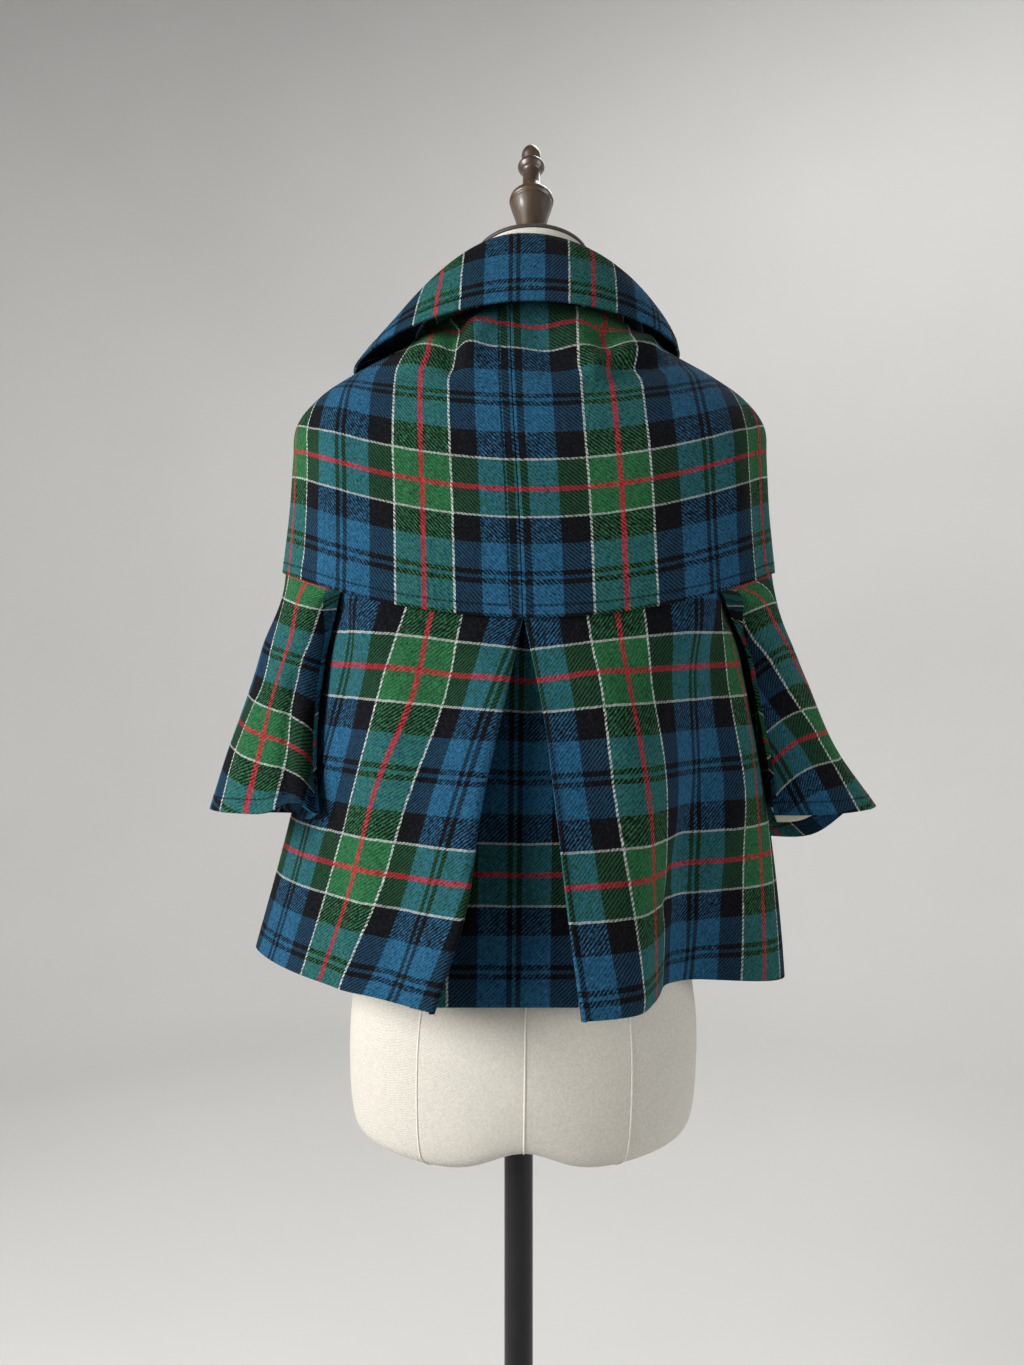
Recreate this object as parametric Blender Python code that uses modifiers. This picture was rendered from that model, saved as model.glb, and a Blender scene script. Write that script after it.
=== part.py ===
"""A tartan wool cape coat on a limbless dress form with a turned finial, a pole and a round base."""

from collections import namedtuple
from math import radians, tan

import bmesh
import bpy
import numpy as np

# Frame: metres, +Z up, the coat's back faces -Y, its wearer's right side is +X.
# The origin is on the floor, under the pole.

# Cloth
CLOTH = 0.0020  # wall of the wool twill
LAYER_STEP = 0.0029  # from one cloth's middle to the next one's, where two lie together
SEAM_GAP = 0.0003  # between two pieces sewn edge to edge
SIDE_GAP = 0.0006  # from the side line to each piece that is sewn there
LAP = 0.006  # how far a lower piece goes up behind the yoke
LEAN = 0.0115  # the form leans to +X by this much for each metre of height
LEAN_START = 0.45  # height at which the lean starts

# Closed rings round the body, read from centre back: half width at the sides, reach to the
# back and to the front, and the height at the back, at the side and at the front. A squareness
# of 2 is an ellipse, and less draws the ring in to a point at the centre.
Ring = namedtuple("Ring", "half_width back front back_z side_z front_z square_back square_front")

YOKE_RINGS = [
    Ring(0.098, 0.0780, 0.105, 1.4050, 1.3930, 1.300, 2.0, 2.0),  # neck seam
    Ring(0.120, 0.0880, 0.113, 1.3740, 1.3820, 1.293, 2.0, 2.0),
    Ring(0.155, 0.0990, 0.124, 1.3380, 1.3640, 1.283, 2.0, 2.0),
    Ring(0.184, 0.1090, 0.132, 1.3020, 1.3450, 1.270, 2.0, 2.0),
    Ring(0.2025, 0.1175, 0.137, 1.2700, 1.3210, 1.252, 2.0, 2.0),  # shoulder corner
    Ring(0.2050, 0.1240, 0.140, 1.2380, 1.2910, 1.230, 2.0, 2.0),
    Ring(0.2075, 0.1295, 0.142, 1.1960, 1.2470, 1.200, 2.0, 2.0),
    Ring(0.2130, 0.1345, 0.143, 1.1485, 1.1950, 1.165, 2.0, 2.0),  # lower edge
]
SKIRT_RINGS = [
    Ring(0.170, 0.1345, 0.141, 1.1485, 1.1950, 1.165, 2.2, 2.2),
    Ring(0.178, 0.1490, 0.146, 1.0780, 1.1110, 1.088, 1.9, 2.2),
    Ring(0.194, 0.1640, 0.151, 1.0080, 1.0270, 1.012, 1.65, 2.1),
    Ring(0.213, 0.1830, 0.157, 0.9380, 0.9430, 0.936, 1.45, 2.0),
    Ring(0.2345, 0.2030, 0.163, 0.8680, 0.8555, 0.860, 1.30, 2.0),  # hem
]
COLLAR_RINGS = [
    Ring(0.0957, 0.0752, 0.1052, 1.4018, 1.3940, 1.3031, 2.0, 2.0),  # tucked into the yoke's neck
    Ring(0.1050, 0.0755, 0.1080, 1.4270, 1.4010, 1.3080, 2.0, 2.0),
    Ring(0.1120, 0.0740, 0.1120, 1.4440, 1.4055, 1.3130, 2.0, 2.0),
    Ring(0.1170, 0.0740, 0.1150, 1.4550, 1.4085, 1.3170, 2.0, 2.0),
    Ring(0.1205, 0.0775, 0.1185, 1.4590, 1.4090, 1.3185, 2.0, 2.0),  # fold
    Ring(0.1255, 0.0830, 0.1225, 1.4560, 1.4060, 1.3165, 2.0, 2.0),
    Ring(0.1330, 0.0900, 0.1280, 1.4400, 1.3975, 1.3090, 2.0, 2.0),
    Ring(0.1385, 0.0960, 0.1320, 1.4190, 1.3880, 1.3020, 2.0, 2.0),
    Ring(0.1415, 0.1010, 0.1350, 1.3975, 1.3775, 1.2960, 2.0, 2.0),  # loose edge
]
COLLAR_ROLL = 0.045  # the collar stands higher to +X, by this much for each metre across
COLLAR_SHIFT = -0.0125  # and its loose edge is pulled over to -X
COLLAR_DRAWN = 0.5  # share of the collar over which both set in
LEFT_DROP, LEFT_REACH = 0.020, 0.125  # how far its -X side sinks, and how far out that is
LEFT_SINK = [0, 0, 0.40, 0.75, 0.95, 1.0, 0.8, 0.5, 0.12]  # share of the drop at each ring
LEFT_FADE = 0.045  # from the side line forwards, where the drop has gone
COLLAR_END = 0.014  # from the centre front to the collar's ends

# Soft folds where the yoke bunches under the collar, from end to end as seen from behind
YokeFold = namedtuple("YokeFold", "start_x start_z end_x end_z width lift")
YOKE_FOLDS = [
    YokeFold(-0.040, 1.398, -0.050, 1.362, 0.012, 0.008),
    YokeFold(-0.060, 1.385, -0.064, 1.352, 0.009, -0.006),
    YokeFold(-0.082, 1.374, -0.095, 1.360, 0.012, 0.005),
    YokeFold(0.000, 1.392, 0.014, 1.358, 0.018, -0.006),
    YokeFold(0.034, 1.385, 0.036, 1.368, 0.014, 0.004),
    YokeFold(0.056, 1.378, 0.064, 1.352, 0.010, -0.005),
    YokeFold(0.047, 1.347, 0.092, 1.376, 0.011, 0.008),
    YokeFold(0.050, 1.335, 0.095, 1.355, 0.012, -0.003),
]
FOLDS_START = 0.08  # share of the yoke, from the neck, over which the folds set in

# The centre back seam's place across, in even steps from the neck to the yoke's lower edge
SEAM_SHIFT = [-0.0190, -0.0155, -0.0105, -0.0056]

# Flutes of the skirt, which deepen from the yoke down: the angle from centre back, the angle
# over which each one fades, and how far it stands out at the hem and, besides, half way down
Flute = namedtuple("Flute", "angle spread hem half_way")
FLUTES = [
    Flute(24, 11, 0.010, 0),
    Flute(51, 14, -0.050, 0),
    Flute(92, 18, -0.007, 0.014),
    Flute(-45, 16, -0.004, 0),
    Flute(128, 13, 0.011, 0),
    Flute(152, 12, -0.008, 0),
    Flute(-118, 14, 0.010, 0),
    Flute(-146, 14, -0.007, 0),
]
FLUTE_POWER = 1.4  # above 1 the flutes deepen faster near the hem

# Inverted box pleat at the centre back, in even steps from the yoke to the hem: its two outer
# folds and its two inner folds
Pleat = namedtuple("Pleat", "left_fold right_fold left_inner right_inner")
PLEAT = [
    Pleat(-0.0082, -0.0018, -0.056, 0.046),
    Pleat(-0.0232, 0.0130, -0.060, 0.046),
    Pleat(-0.0379, 0.0225, -0.066, 0.047),
    Pleat(-0.0477, 0.0310, -0.073, 0.049),
    Pleat(-0.0700, 0.0410, -0.085, 0.054),
]
UNDERLAY_Y = -0.1230  # where its underlay hangs, straight down from the yoke
UNDERLAY_DROP = 0.0125  # how far the underlay's hem hangs below the folds
FOLD_RADIUS = 0.0021
HEM_TILT = 0.013  # how much lower the hem hangs at its +X side, and higher at its -X side

# Bell sleeves, in even steps from the yoke to the hem: angles from centre back of the edges
# that face the body, how far the outer side stands out, and how far the sleeve hangs off the body
Sleeve = namedtuple("Sleeve", "back_angle front_angle reach off")
LEFT_SLEEVE = [
    Sleeve(49.5, 133, 0.036, 0),
    Sleeve(64, 120, 0.0437, 0.002),
    Sleeve(65.5, 117, 0.049, 0.004),
    Sleeve(62.5, 117, 0.056, 0.004),
    Sleeve(57, 118, 0.060, 0.004),
]
RIGHT_SLEEVE = [
    Sleeve(50, 133, 0.040, 0),
    Sleeve(78, 125, 0.0455, 0.004),
    Sleeve(81.5, 125, 0.0565, 0.006),
    Sleeve(83, 126, 0.0735, 0.006),
    Sleeve(80.5, 128, 0.102, 0.006),
]

# Height of a sleeve's hem in even steps from its back edge round its outer side to its front edge
LEFT_HEM = [0.996, 0.993, 0.990, 0.980, 0.974]
RIGHT_HEM = [0.986, 0.989, 0.984, 0.949, 0.948]
SLEEVES = [("left", -1, LEFT_SLEEVE, LEFT_HEM), ("right", 1, RIGHT_SLEEVE, RIGHT_HEM)]
SLEEVE_CLEAR = 0.0042  # from the skirt's middle to the sleeve's nearer wall
SLEEVE_FULLNESS = 0.45  # below 1 the sleeve fills out towards its two edges
SLEEVE_BLEND = 0.30  # share of the sleeve over which it leaves the yoke's curve
SLEEVE_SPRING = 1.7  # above 1 it leaves faster near the yoke
ARMHOLE_START = 30  # angle at which the skirt leaves the yoke to pass under the arm
ARMHOLE_END = 80
ARMHOLE_DEPTH = 0.042  # how far it passes in at the side
SKIRT_BLEND = 0.22  # share of the skirt over which it leaves the yoke's curve
LINING_TOP, LINING_END = 0.45, 0.91  # shares of the sleeve between which its lining is seen
LINING_EDGE = 0.16  # share of the sleeve's outer side left bare at each edge of the lining
LINING_STEP = 0.0032  # from the sleeve's middle to its lining's

# Front closing
OVERLAP = 0.020  # each front passes the centre front by this much
TUCK_START, TUCK_DONE = 0.110, 0.050  # where the under front starts to sink, and has sunk
TUCK_END = 0.12  # share of the skirt below which it no longer lies under both yoke fronts
Button = namedtuple("Button", "name share_of_yoke share_of_skirt")
BUTTONS = [
    Button("button_1", 0.30, None),
    Button("button_2", 0.72, None),
    Button("button_3", None, 0.22),
    Button("button_4", None, 0.58),
]
BUTTON_RADIUS, BUTTON_THICK, BUTTON_RIM = 0.0110, 0.0034, 0.0006
BUTTON_CLEAR = 0.0005

# Dress form: height, half width, reach to the back and to the front
FormRing = namedtuple("FormRing", "z half_width back front")
FORM_RINGS = [
    FormRing(0.7120, 0.118, 0.084, 0.074),
    FormRing(0.7165, 0.136, 0.100, 0.089),
    FormRing(0.7300, 0.1465, 0.111, 0.098),
    FormRing(0.7700, 0.1505, 0.116, 0.103),
    FormRing(0.8200, 0.1495, 0.114, 0.104),
    FormRing(0.8800, 0.1390, 0.104, 0.101),
    FormRing(0.9400, 0.1240, 0.090, 0.095),
    FormRing(1.0000, 0.1120, 0.079, 0.089),
    FormRing(1.0600, 0.1130, 0.079, 0.091),
    FormRing(1.1200, 0.1240, 0.089, 0.104),
    FormRing(1.1800, 0.1370, 0.100, 0.120),
    FormRing(1.2300, 0.1460, 0.105, 0.121),
    FormRing(1.2800, 0.1590, 0.100, 0.105),
    FormRing(1.3150, 0.1680, 0.089, 0.084),
    FormRing(1.3400, 0.1690, 0.072, 0.068),
    FormRing(1.3500, 0.1650, 0.066, 0.064),
    FormRing(1.3585, 0.1595, 0.063, 0.060),
    FormRing(1.3690, 0.1425, 0.060, 0.056),
    FormRing(1.3800, 0.1203, 0.058, 0.050),
    FormRing(1.3920, 0.0930, 0.058, 0.048),
    FormRing(1.4050, 0.0700, 0.059, 0.049),
    FormRing(1.4200, 0.0590, 0.056, 0.046),
    FormRing(1.4420, 0.0530, 0.049, 0.043),
    FormRing(1.4680, 0.0500, 0.042, 0.042),
]
NECK_SLANT = 18  # degrees by which the neck's top falls to the front
SLANT_START = 1.405  # height at which the neck's rings start to slant
NOTCH_RISE, NOTCH_WIDTH, NOTCH_TOP = 0.016, 0.034, 0.800  # dip between the two lower lobes
SOCKET_RADIUS, SOCKET_BOTTOM, SOCKET_TOP = 0.0129, 0.60, 0.86

# Stand and neck
POLE_RADIUS, POLE_TOP = 0.0125, 0.855
BASE_RADIUS, BASE_THICK, BASE_EDGE = 0.160, 0.012, 0.003
BASE_HUB_RADIUS, BASE_HUB_TOP = 0.024, 0.034
PLATE_HALF_WIDTH, PLATE_HALF_DEPTH, PLATE_THICK, PLATE_EDGE = 0.0505, 0.0425, 0.0032, 0.0008
Turned = namedtuple("Turned", "height radius")
FINIAL = [
    Turned(0.0000, 0.0165),
    Turned(0.0050, 0.0175),
    Turned(0.0090, 0.0150),
    Turned(0.0130, 0.0120),
    Turned(0.0250, 0.0118),
    Turned(0.0340, 0.0128),
    Turned(0.0450, 0.0150),
    Turned(0.0540, 0.0176),
    Turned(0.0588, 0.0188),
    Turned(0.0600, 0.0182),
    Turned(0.0620, 0.0197),
    Turned(0.0645, 0.0197),
    Turned(0.0670, 0.0185),
    Turned(0.0720, 0.0130),
    Turned(0.0780, 0.0092),
    Turned(0.0840, 0.0080),
    Turned(0.0950, 0.0080),
    Turned(0.0985, 0.0104),
    Turned(0.1020, 0.0122),
    Turned(0.1055, 0.0108),
    Turned(0.1080, 0.0076),
    Turned(0.1105, 0.0078),
    Turned(0.1150, 0.0088),
    Turned(0.1200, 0.0076),
    Turned(0.1245, 0.0042),
]

# Angles among which the edges at the centre back and the centre front are looked for
BACK_ANGLES = np.linspace(-80, 80, 641)
FRONT_ANGLES = np.linspace(150, 210, 241)
COLLAR_ANGLES = np.linspace(120, 180, 241)

# Grid counts of the solids
YOKE_ACROSS, YOKE_DOWN = 12, 12
SKIRT_ACROSS, SKIRT_DOWN = 11, 9
PLEAT_STEPS = 4
COLLAR_AROUND = 30
SLEEVE_AROUND, SLEEVE_DOWN = 11, 8
FORM_AROUND = 36
TURNED_STEPS = 24
MERGE = 0.00001
SHARP_ANGLE = 50  # degrees at which an edge of the form stays sharp

# Materials: base colour and roughness
Look = namedtuple("Look", "colour roughness")
LOOKS = {
    "tartan_wool": Look((0.020, 0.110, 0.105), 0.90),
    "cream_lining": Look((0.78, 0.72, 0.60), 0.65),
    "dark_horn": Look((0.030, 0.022, 0.018), 0.35),
    "cream_canvas": Look((0.80, 0.76, 0.67), 0.85),
    "dark_plate": Look((0.060, 0.045, 0.035), 0.50),
    "turned_wood": Look((0.090, 0.050, 0.025), 0.40),
    "black_metal": Look((0.012, 0.012, 0.013), 0.45),
}


def through(values, share):
    """The smooth curve through evenly spaced values, at a share from 0 to 1 of its length."""
    values = np.asarray(values, float)
    padded = np.concatenate([[2 * values[0] - values[1]], values, [2 * values[-1] - values[-2]]])
    place = np.clip(share, 0, 1) * (len(values) - 1)
    index = np.minimum(place.astype(int), len(values) - 2)
    part = place - index
    before, first, second, after = (padded[index + step] for step in range(4))
    straight = second - before
    bend = 2 * before - 5 * first + 4 * second - after
    twist = 3 * (first - second) + after - before
    return first + 0.5 * part * (straight + part * (bend + part * twist))


def table(rows, share):
    """The columns of a table of sections, each taken along its smooth curve."""
    columns = ([getattr(row, name) for row in rows] for name in rows[0]._fields)
    return type(rows[0])(*(through(column, share) for column in columns))


def ease(value):
    value = np.clip(value, 0, 1)
    return value * value * (3 - 2 * value)


def ring_points(rows, angle, share):
    """Points of a stack of rings at angles from centre back, in degrees, to +X."""
    angle, share = np.broadcast_arrays(np.asarray(angle, float), np.asarray(share, float))
    ring = table(rows, share)
    sine, cosine = np.sin(np.radians(angle)), np.cos(np.radians(angle))
    at_back = cosine > 0
    power = 2 / np.where(at_back, ring.square_back, ring.square_front)
    x = ring.half_width * np.sign(sine) * np.abs(sine) ** power
    y = -np.where(at_back, ring.back, ring.front) * np.sign(cosine) * np.abs(cosine) ** power
    end_z = np.where(at_back, ring.back_z, ring.front_z)
    z = ring.side_z + (end_z - ring.side_z) * cosine**2
    return np.stack([x, y, z], axis=-1)


def normals_of(surface, angle, share):
    """Outward directions of a surface given as a function of angle and share."""
    step_angle, step_share = 0.2, 0.002
    low = np.clip(share - step_share, 0, 1)
    high = np.clip(share + step_share, 0, 1)
    across = surface(angle + step_angle, share) - surface(angle - step_angle, share)
    down = surface(angle, high) - surface(angle, low)
    normal = np.cross(down, across)
    return normal / np.linalg.norm(normal, axis=-1, keepdims=True)


def yoke_plain(angle, share):
    return ring_points(YOKE_RINGS, angle, share)


def fold_lift(points):
    """How far the folds under the collar lift the yoke's back."""
    x, z = points[..., 0], points[..., 2]
    lift = np.zeros_like(x)
    for fold in YOKE_FOLDS:
        run_x, run_z = fold.end_x - fold.start_x, fold.end_z - fold.start_z
        along = ((x - fold.start_x) * run_x + (z - fold.start_z) * run_z) / (run_x**2 + run_z**2)
        along = np.clip(along, 0, 1)
        off = (x - fold.start_x - along * run_x) ** 2 + (z - fold.start_z - along * run_z) ** 2
        lift += fold.lift * np.exp(-off / fold.width**2)
    return np.where(points[..., 1] < 0, lift, 0)


def yoke(angle, share):
    angle, share = np.broadcast_arrays(np.asarray(angle, float), np.asarray(share, float))
    points = yoke_plain(angle, share)
    lift = fold_lift(points) * ease(share / FOLDS_START)
    return points + lift[..., None] * normals_of(yoke_plain, angle, share)


def yoke_back_row(sign, share, across):
    """One row of a back yoke, from the centre back seam to the side."""
    reached = yoke_plain(BACK_ANGLES, np.full_like(BACK_ANGLES, share))[:, 0]
    seam = np.interp(through(SEAM_SHIFT, np.array(share)), reached, BACK_ANGLES)
    angles = seam + (sign * 90 - seam) * np.linspace(0, 1, across + 1)
    points = yoke(angles, np.full_like(angles, share))
    points[0, 0] += sign * SEAM_GAP
    points[-1, 1] -= SIDE_GAP
    return points


def under_yoke(angle, depth):
    """The surface one layer behind the yoke, at a depth above its lower edge."""
    last_part = 0.1
    edge = yoke_plain(angle, np.ones_like(angle))
    above = yoke_plain(angle, np.full_like(angle, 1 - last_part))
    length = np.linalg.norm(above - edge, axis=-1) / last_part
    share = 1 - depth / length
    return yoke_plain(angle, share) - LAYER_STEP * normals_of(yoke_plain, angle, share)


def armhole(angle):
    """How far the skirt's top passes in under the arm."""
    from_back = np.abs(angle)
    from_end = np.minimum(from_back, 180 - from_back)
    return ARMHOLE_DEPTH * ease((from_end - ARMHOLE_START) / (ARMHOLE_END - ARMHOLE_START))


def skirt(angle, share):
    """The skirt's surface without its pleat."""
    angle, share = np.broadcast_arrays(np.asarray(angle, float), np.asarray(share, float))
    hung = ring_points(SKIRT_RINGS, angle, share)
    out = np.stack([np.sin(np.radians(angle)), -np.cos(np.radians(angle)), 0 * angle], axis=-1)
    wrapped = (angle + 180) % 360 - 180
    reach = np.zeros_like(hung[..., 0])
    for flute in FLUTES:
        depth = flute.hem * share**FLUTE_POWER + flute.half_way * 4 * share * (1 - share)
        reach += depth * np.exp(-(((wrapped - flute.angle) / flute.spread) ** 2))
    hung = hung + out * reach[..., None]
    top = under_yoke(angle, np.zeros_like(angle))
    top[..., 0] -= np.sign(top[..., 0]) * armhole(angle)
    keep = ease(share / SKIRT_BLEND)
    points = top + (hung - top) * keep[..., None]
    sideways = points[..., 0] / SKIRT_RINGS[-1].half_width
    points[..., 2] = hung[..., 2] - HEM_TILT * share * sideways**3
    return points


def lap_row(angle, share):
    """The skirt's top edge behind the yoke, and a little way down from it."""
    points = under_yoke(angle, LAP * (1 - share))
    points[..., 0] -= np.sign(points[..., 0]) * armhole((angle + 180) % 360 - 180)
    return points


def lean(points):
    points = np.array(points, float)
    points[..., 0] += LEAN * (points[..., 2] - LEAN_START)
    return points


def left_of(direction):
    return np.array([-direction[1], direction[0]])


def arc(centre, start, end, side, steps):
    """An arc in plan from one heading to another, round a centre on the given side."""
    headings = np.linspace(start, end, steps + 1)
    directions = np.stack([np.cos(headings), np.sin(headings)], axis=-1)
    offsets = np.stack([-directions[:, 1], directions[:, 0]], axis=-1)
    return centre - side * FOLD_RADIUS * offsets


def pleat_side(tip, heading, inner_x, underlay_y, steps):
    """Plan path from a panel's outer fold round to the underlay, for a panel heading to +X."""
    first_centre = tip + FOLD_RADIUS * left_of([np.cos(heading), np.sin(heading)])
    second_centre = np.array([inner_x, underlay_y - FOLD_RADIUS])
    run = second_centre - first_centre
    angle = np.arctan2(run[1], run[0]) % (2 * np.pi)
    turned = angle + np.arcsin(2 * FOLD_RADIUS / np.hypot(*run))
    outer = arc(first_centre, heading, turned, 1, steps)
    inner = arc(second_centre, turned, 0, -1, steps)
    back = outer[-1] + (inner[0] - outer[-1]) * np.linspace(0, 1, steps + 1)[1:-1, None]
    return np.concatenate([outer, back, inner])


def back_skirt_row(surface, share, across, pleat_steps):
    """One row of the back skirt: left panel, pleat and right panel."""
    pleat = table(PLEAT, np.array(share))
    curve = surface(BACK_ANGLES, np.full_like(BACK_ANGLES, share))
    follow = (1 - share) ** 2
    halves, tip_y = [], []
    left = (-1, pleat.left_fold, pleat.left_inner)
    right = (1, pleat.right_fold, pleat.right_inner)
    for sign, fold_x, inner_x in (left, right):
        end = np.interp(fold_x, curve[:, 0], BACK_ANGLES)
        angles = sign * 90 + (end - sign * 90) * np.linspace(0, 1, across + 1)
        panel = surface(angles, np.full_like(angles, share))
        panel[0, 1] -= SIDE_GAP
        near = panel[-1] - panel[-2]
        heading = np.arctan2(near[1], -sign * near[0])
        mirrored = np.array([-sign * panel[-1, 0], panel[-1, 1]])
        half = pleat_side(mirrored, heading, -sign * inner_x, UNDERLAY_Y, pleat_steps)
        half[:, 0] *= -sign
        tip_y.append(panel[-1, 1])
        halves.append((panel, half))
    (left, left_pleat), (right, right_pleat) = halves
    level = (left[-1, 2] + right[-1, 2]) / 2
    spread = np.linspace(0, 1, 2 * pleat_steps + 1)[1:-1, None]
    underlay = left_pleat[-1] + (right_pleat[-1] - left_pleat[-1]) * spread
    plan = np.concatenate([left_pleat[1:], underlay, right_pleat[::-1][:-1]])
    deep = np.clip((plan[:, 1] - np.mean(tip_y)) / (UNDERLAY_Y - np.mean(tip_y)), 0, 1)
    plan[:, 1] += follow * (np.interp(plan[:, 0], curve[:, 0], curve[:, 1]) - np.mean(tip_y))
    folded = np.column_stack([plan, level - UNDERLAY_DROP * share * deep])
    return np.concatenate([left, folded, right[::-1]])


def front_row(surface, share, sign, across):
    """One row of a front, from the side to past the centre front; the one at -X lies under."""
    reached = surface(FRONT_ANGLES, np.full_like(FRONT_ANGLES, share))[:, 0]
    edge = np.interp(OVERLAP, -reached, FRONT_ANGLES)
    angles = sign * np.linspace(90, edge, across + 1)
    shares = np.full_like(angles, share)
    points = surface(angles, shares)
    points[0, 1] += SIDE_GAP
    sunk = np.zeros_like(angles)
    if sign < 0:
        sunk += ease((points[:, 0] + TUCK_START) / (TUCK_START - TUCK_DONE))
    if surface is not yoke:
        under_both = ease((TUCK_START - np.abs(points[:, 0])) / (TUCK_START - TUCK_DONE))
        sunk += under_both * (1 - ease(share / TUCK_END))
    return points - (sunk * LAYER_STEP)[:, None] * normals_of(surface, angles, shares)


def sleeve_points(rows, hem, sign, around, share, lapped):
    """One ring of a sleeve: its outer side from back to front, then its side next to the body."""
    row = table(rows, np.array(share))
    place = np.linspace(0, 1, around + 1)
    angle = row.back_angle + (row.front_angle - row.back_angle) * place
    top = under_yoke(angle, np.full_like(angle, LAP if lapped else 0.0))
    z = top[:, 2] + (through(hem, place) - top[:, 2]) * share
    high, low = (skirt(sign * angle, np.full_like(angle, end))[:, 2] for end in (0, 1))
    body = skirt(sign * angle, np.clip((high - z) / (high - low), 0, 1))
    out = np.stack([sign * np.sin(np.radians(angle)), -np.cos(np.radians(angle))], axis=-1)
    near = body[:, :2] + out * (SLEEVE_CLEAR + row.off)
    rise = np.clip(np.sin(np.pi * place), 0, 1) ** SLEEVE_FULLNESS
    far = near + out * (LAYER_STEP + row.reach * rise)[:, None]
    hung = 1 - np.clip(1 - share / SLEEVE_BLEND, 0, 1) ** SLEEVE_SPRING
    top_plan = top[:, :2] * [sign, 1]
    far = top_plan + (far - top_plan) * hung
    outer = np.column_stack([far, z])
    inner = np.column_stack([near, z])
    return outer, inner


def grid_object(name, rows, look, closed=False):
    """A cloth wall: a grid of points with the cloth's thickness given by Solidify."""
    rows = lean(rows)
    count = rows.shape[1]
    mesh = bpy.data.meshes.new(name)
    shape = bmesh.new()
    points = [[shape.verts.new(point) for point in row] for row in rows]
    for upper, lower in zip(points, points[1:]):
        for index in range(count if closed else count - 1):
            after = (index + 1) % count
            shape.faces.new((upper[index], upper[after], lower[after], lower[index]))
    bmesh.ops.recalc_face_normals(shape, faces=shape.faces)
    shape.to_mesh(mesh)
    shape.free()
    mesh.shade_smooth()
    made = add_object(name, mesh, look)
    wall = made.modifiers.new("Cloth wall", "SOLIDIFY")
    wall.thickness = CLOTH
    wall.offset = 0
    return made


def add_object(name, mesh, look):
    made = bpy.data.objects.new(name, mesh)
    material = bpy.data.materials.new(f"{name}_{look}")
    material.use_nodes = True
    shader = material.node_tree.nodes["Principled BSDF"]
    shader.inputs["Base Color"].default_value = (*LOOKS[look].colour, 1)
    shader.inputs["Roughness"].default_value = LOOKS[look].roughness
    made.data.materials.append(material)
    coat.objects.link(made)
    return made


def lathe_object(name, profile, look, steps=TURNED_STEPS):
    """A solid turned about its own Z axis: a profile, from its foot up, with Screw."""
    mesh = bpy.data.meshes.new(name)
    shape = bmesh.new()
    outline = [Turned(profile[0].height, 0), *profile, Turned(profile[-1].height, 0)]
    points = [shape.verts.new((row.radius, 0, row.height)) for row in reversed(outline)]
    for pair in zip(points, points[1:]):
        shape.edges.new(pair)
    shape.to_mesh(mesh)
    shape.free()
    made = add_object(name, mesh, look)
    turn = made.modifiers.new("Turned", "SCREW")
    turn.steps = turn.render_steps = steps
    turn.use_merge_vertices = True
    turn.merge_threshold = MERGE
    return made


def build_yoke():
    shares = np.linspace(0, 1, YOKE_DOWN + 1)
    for side, sign in (("left", -1), ("right", 1)):
        back = np.array([yoke_back_row(sign, share, YOKE_ACROSS) for share in shares])
        grid_object(f"yoke_back_{side}", back, "tartan_wool")
        front = np.array([front_row(yoke, share, sign, YOKE_ACROSS) for share in shares])
        grid_object(f"yoke_front_{side}", front, "tartan_wool")


def build_skirt():
    shares = np.linspace(0, 1, SKIRT_DOWN + 1)
    rows = [back_skirt_row(lap_row, 0.0, SKIRT_ACROSS, PLEAT_STEPS)]
    rows += [back_skirt_row(skirt, share, SKIRT_ACROSS, PLEAT_STEPS) for share in shares]
    grid_object("skirt_back", np.array(rows), "tartan_wool")
    for side, sign in (("left", -1), ("right", 1)):
        rows = [front_row(lap_row, 0.0, sign, SKIRT_ACROSS)]
        rows += [front_row(skirt, share, sign, SKIRT_ACROSS) for share in shares]
        grid_object(f"skirt_front_{side}", np.array(rows), "tartan_wool")


def build_sleeves():
    shares = np.linspace(0, 1, SLEEVE_DOWN + 1)
    for side, sign, rows, hem in SLEEVES:
        rings = []
        for share, lapped in [(0.0, True)] + [(share, False) for share in shares]:
            outer, inner = sleeve_points(rows, hem, sign, SLEEVE_AROUND, share, lapped)
            rings.append(np.concatenate([outer, inner[::-1]]))
        grid_object(f"sleeve_{side}", np.array(rings), "tartan_wool", closed=True)
        lining = []
        for share in np.linspace(LINING_TOP, LINING_END, SLEEVE_DOWN // 2 + 1):
            outer, inner = sleeve_points(rows, hem, sign, 2 * SLEEVE_AROUND, share, False)
            lining.append(outer)
        lining = np.array(lining)
        down, across = np.gradient(lining, axis=0), np.gradient(lining, axis=1)
        into = sign * np.cross(across, down)
        into /= np.linalg.norm(into, axis=-1, keepdims=True)
        count = lining.shape[1]
        kept = slice(round(count * LINING_EDGE), round(count * (1 - LINING_EDGE)), 2)
        lining += into * LINING_STEP
        grid_object(f"sleeve_lining_{side}", lining[:, kept], "cream_lining")


def build_collar():
    shares = np.linspace(0, 1, 2 * len(COLLAR_RINGS) - 1)
    rows = []
    for share in shares:
        reached = ring_points(COLLAR_RINGS, COLLAR_ANGLES, np.full_like(COLLAR_ANGLES, share))
        end = np.interp(-COLLAR_END, -reached[:, 0], COLLAR_ANGLES)
        angles = np.linspace(-end, end, COLLAR_AROUND + 1)
        points = ring_points(COLLAR_RINGS, angles, np.full_like(angles, share))
        drawn = ease(share / COLLAR_DRAWN)
        sink = ease(-points[:, 0] / LEFT_REACH) * ease(1 - points[:, 1] / LEFT_FADE)
        sink *= LEFT_DROP * through(LEFT_SINK, np.array(share))
        points[:, 2] += COLLAR_ROLL * points[:, 0] * drawn - sink
        points[:, 0] += COLLAR_SHIFT * drawn
        rows.append(points)
    grid_object("collar", np.array(rows), "tartan_wool")


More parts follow.
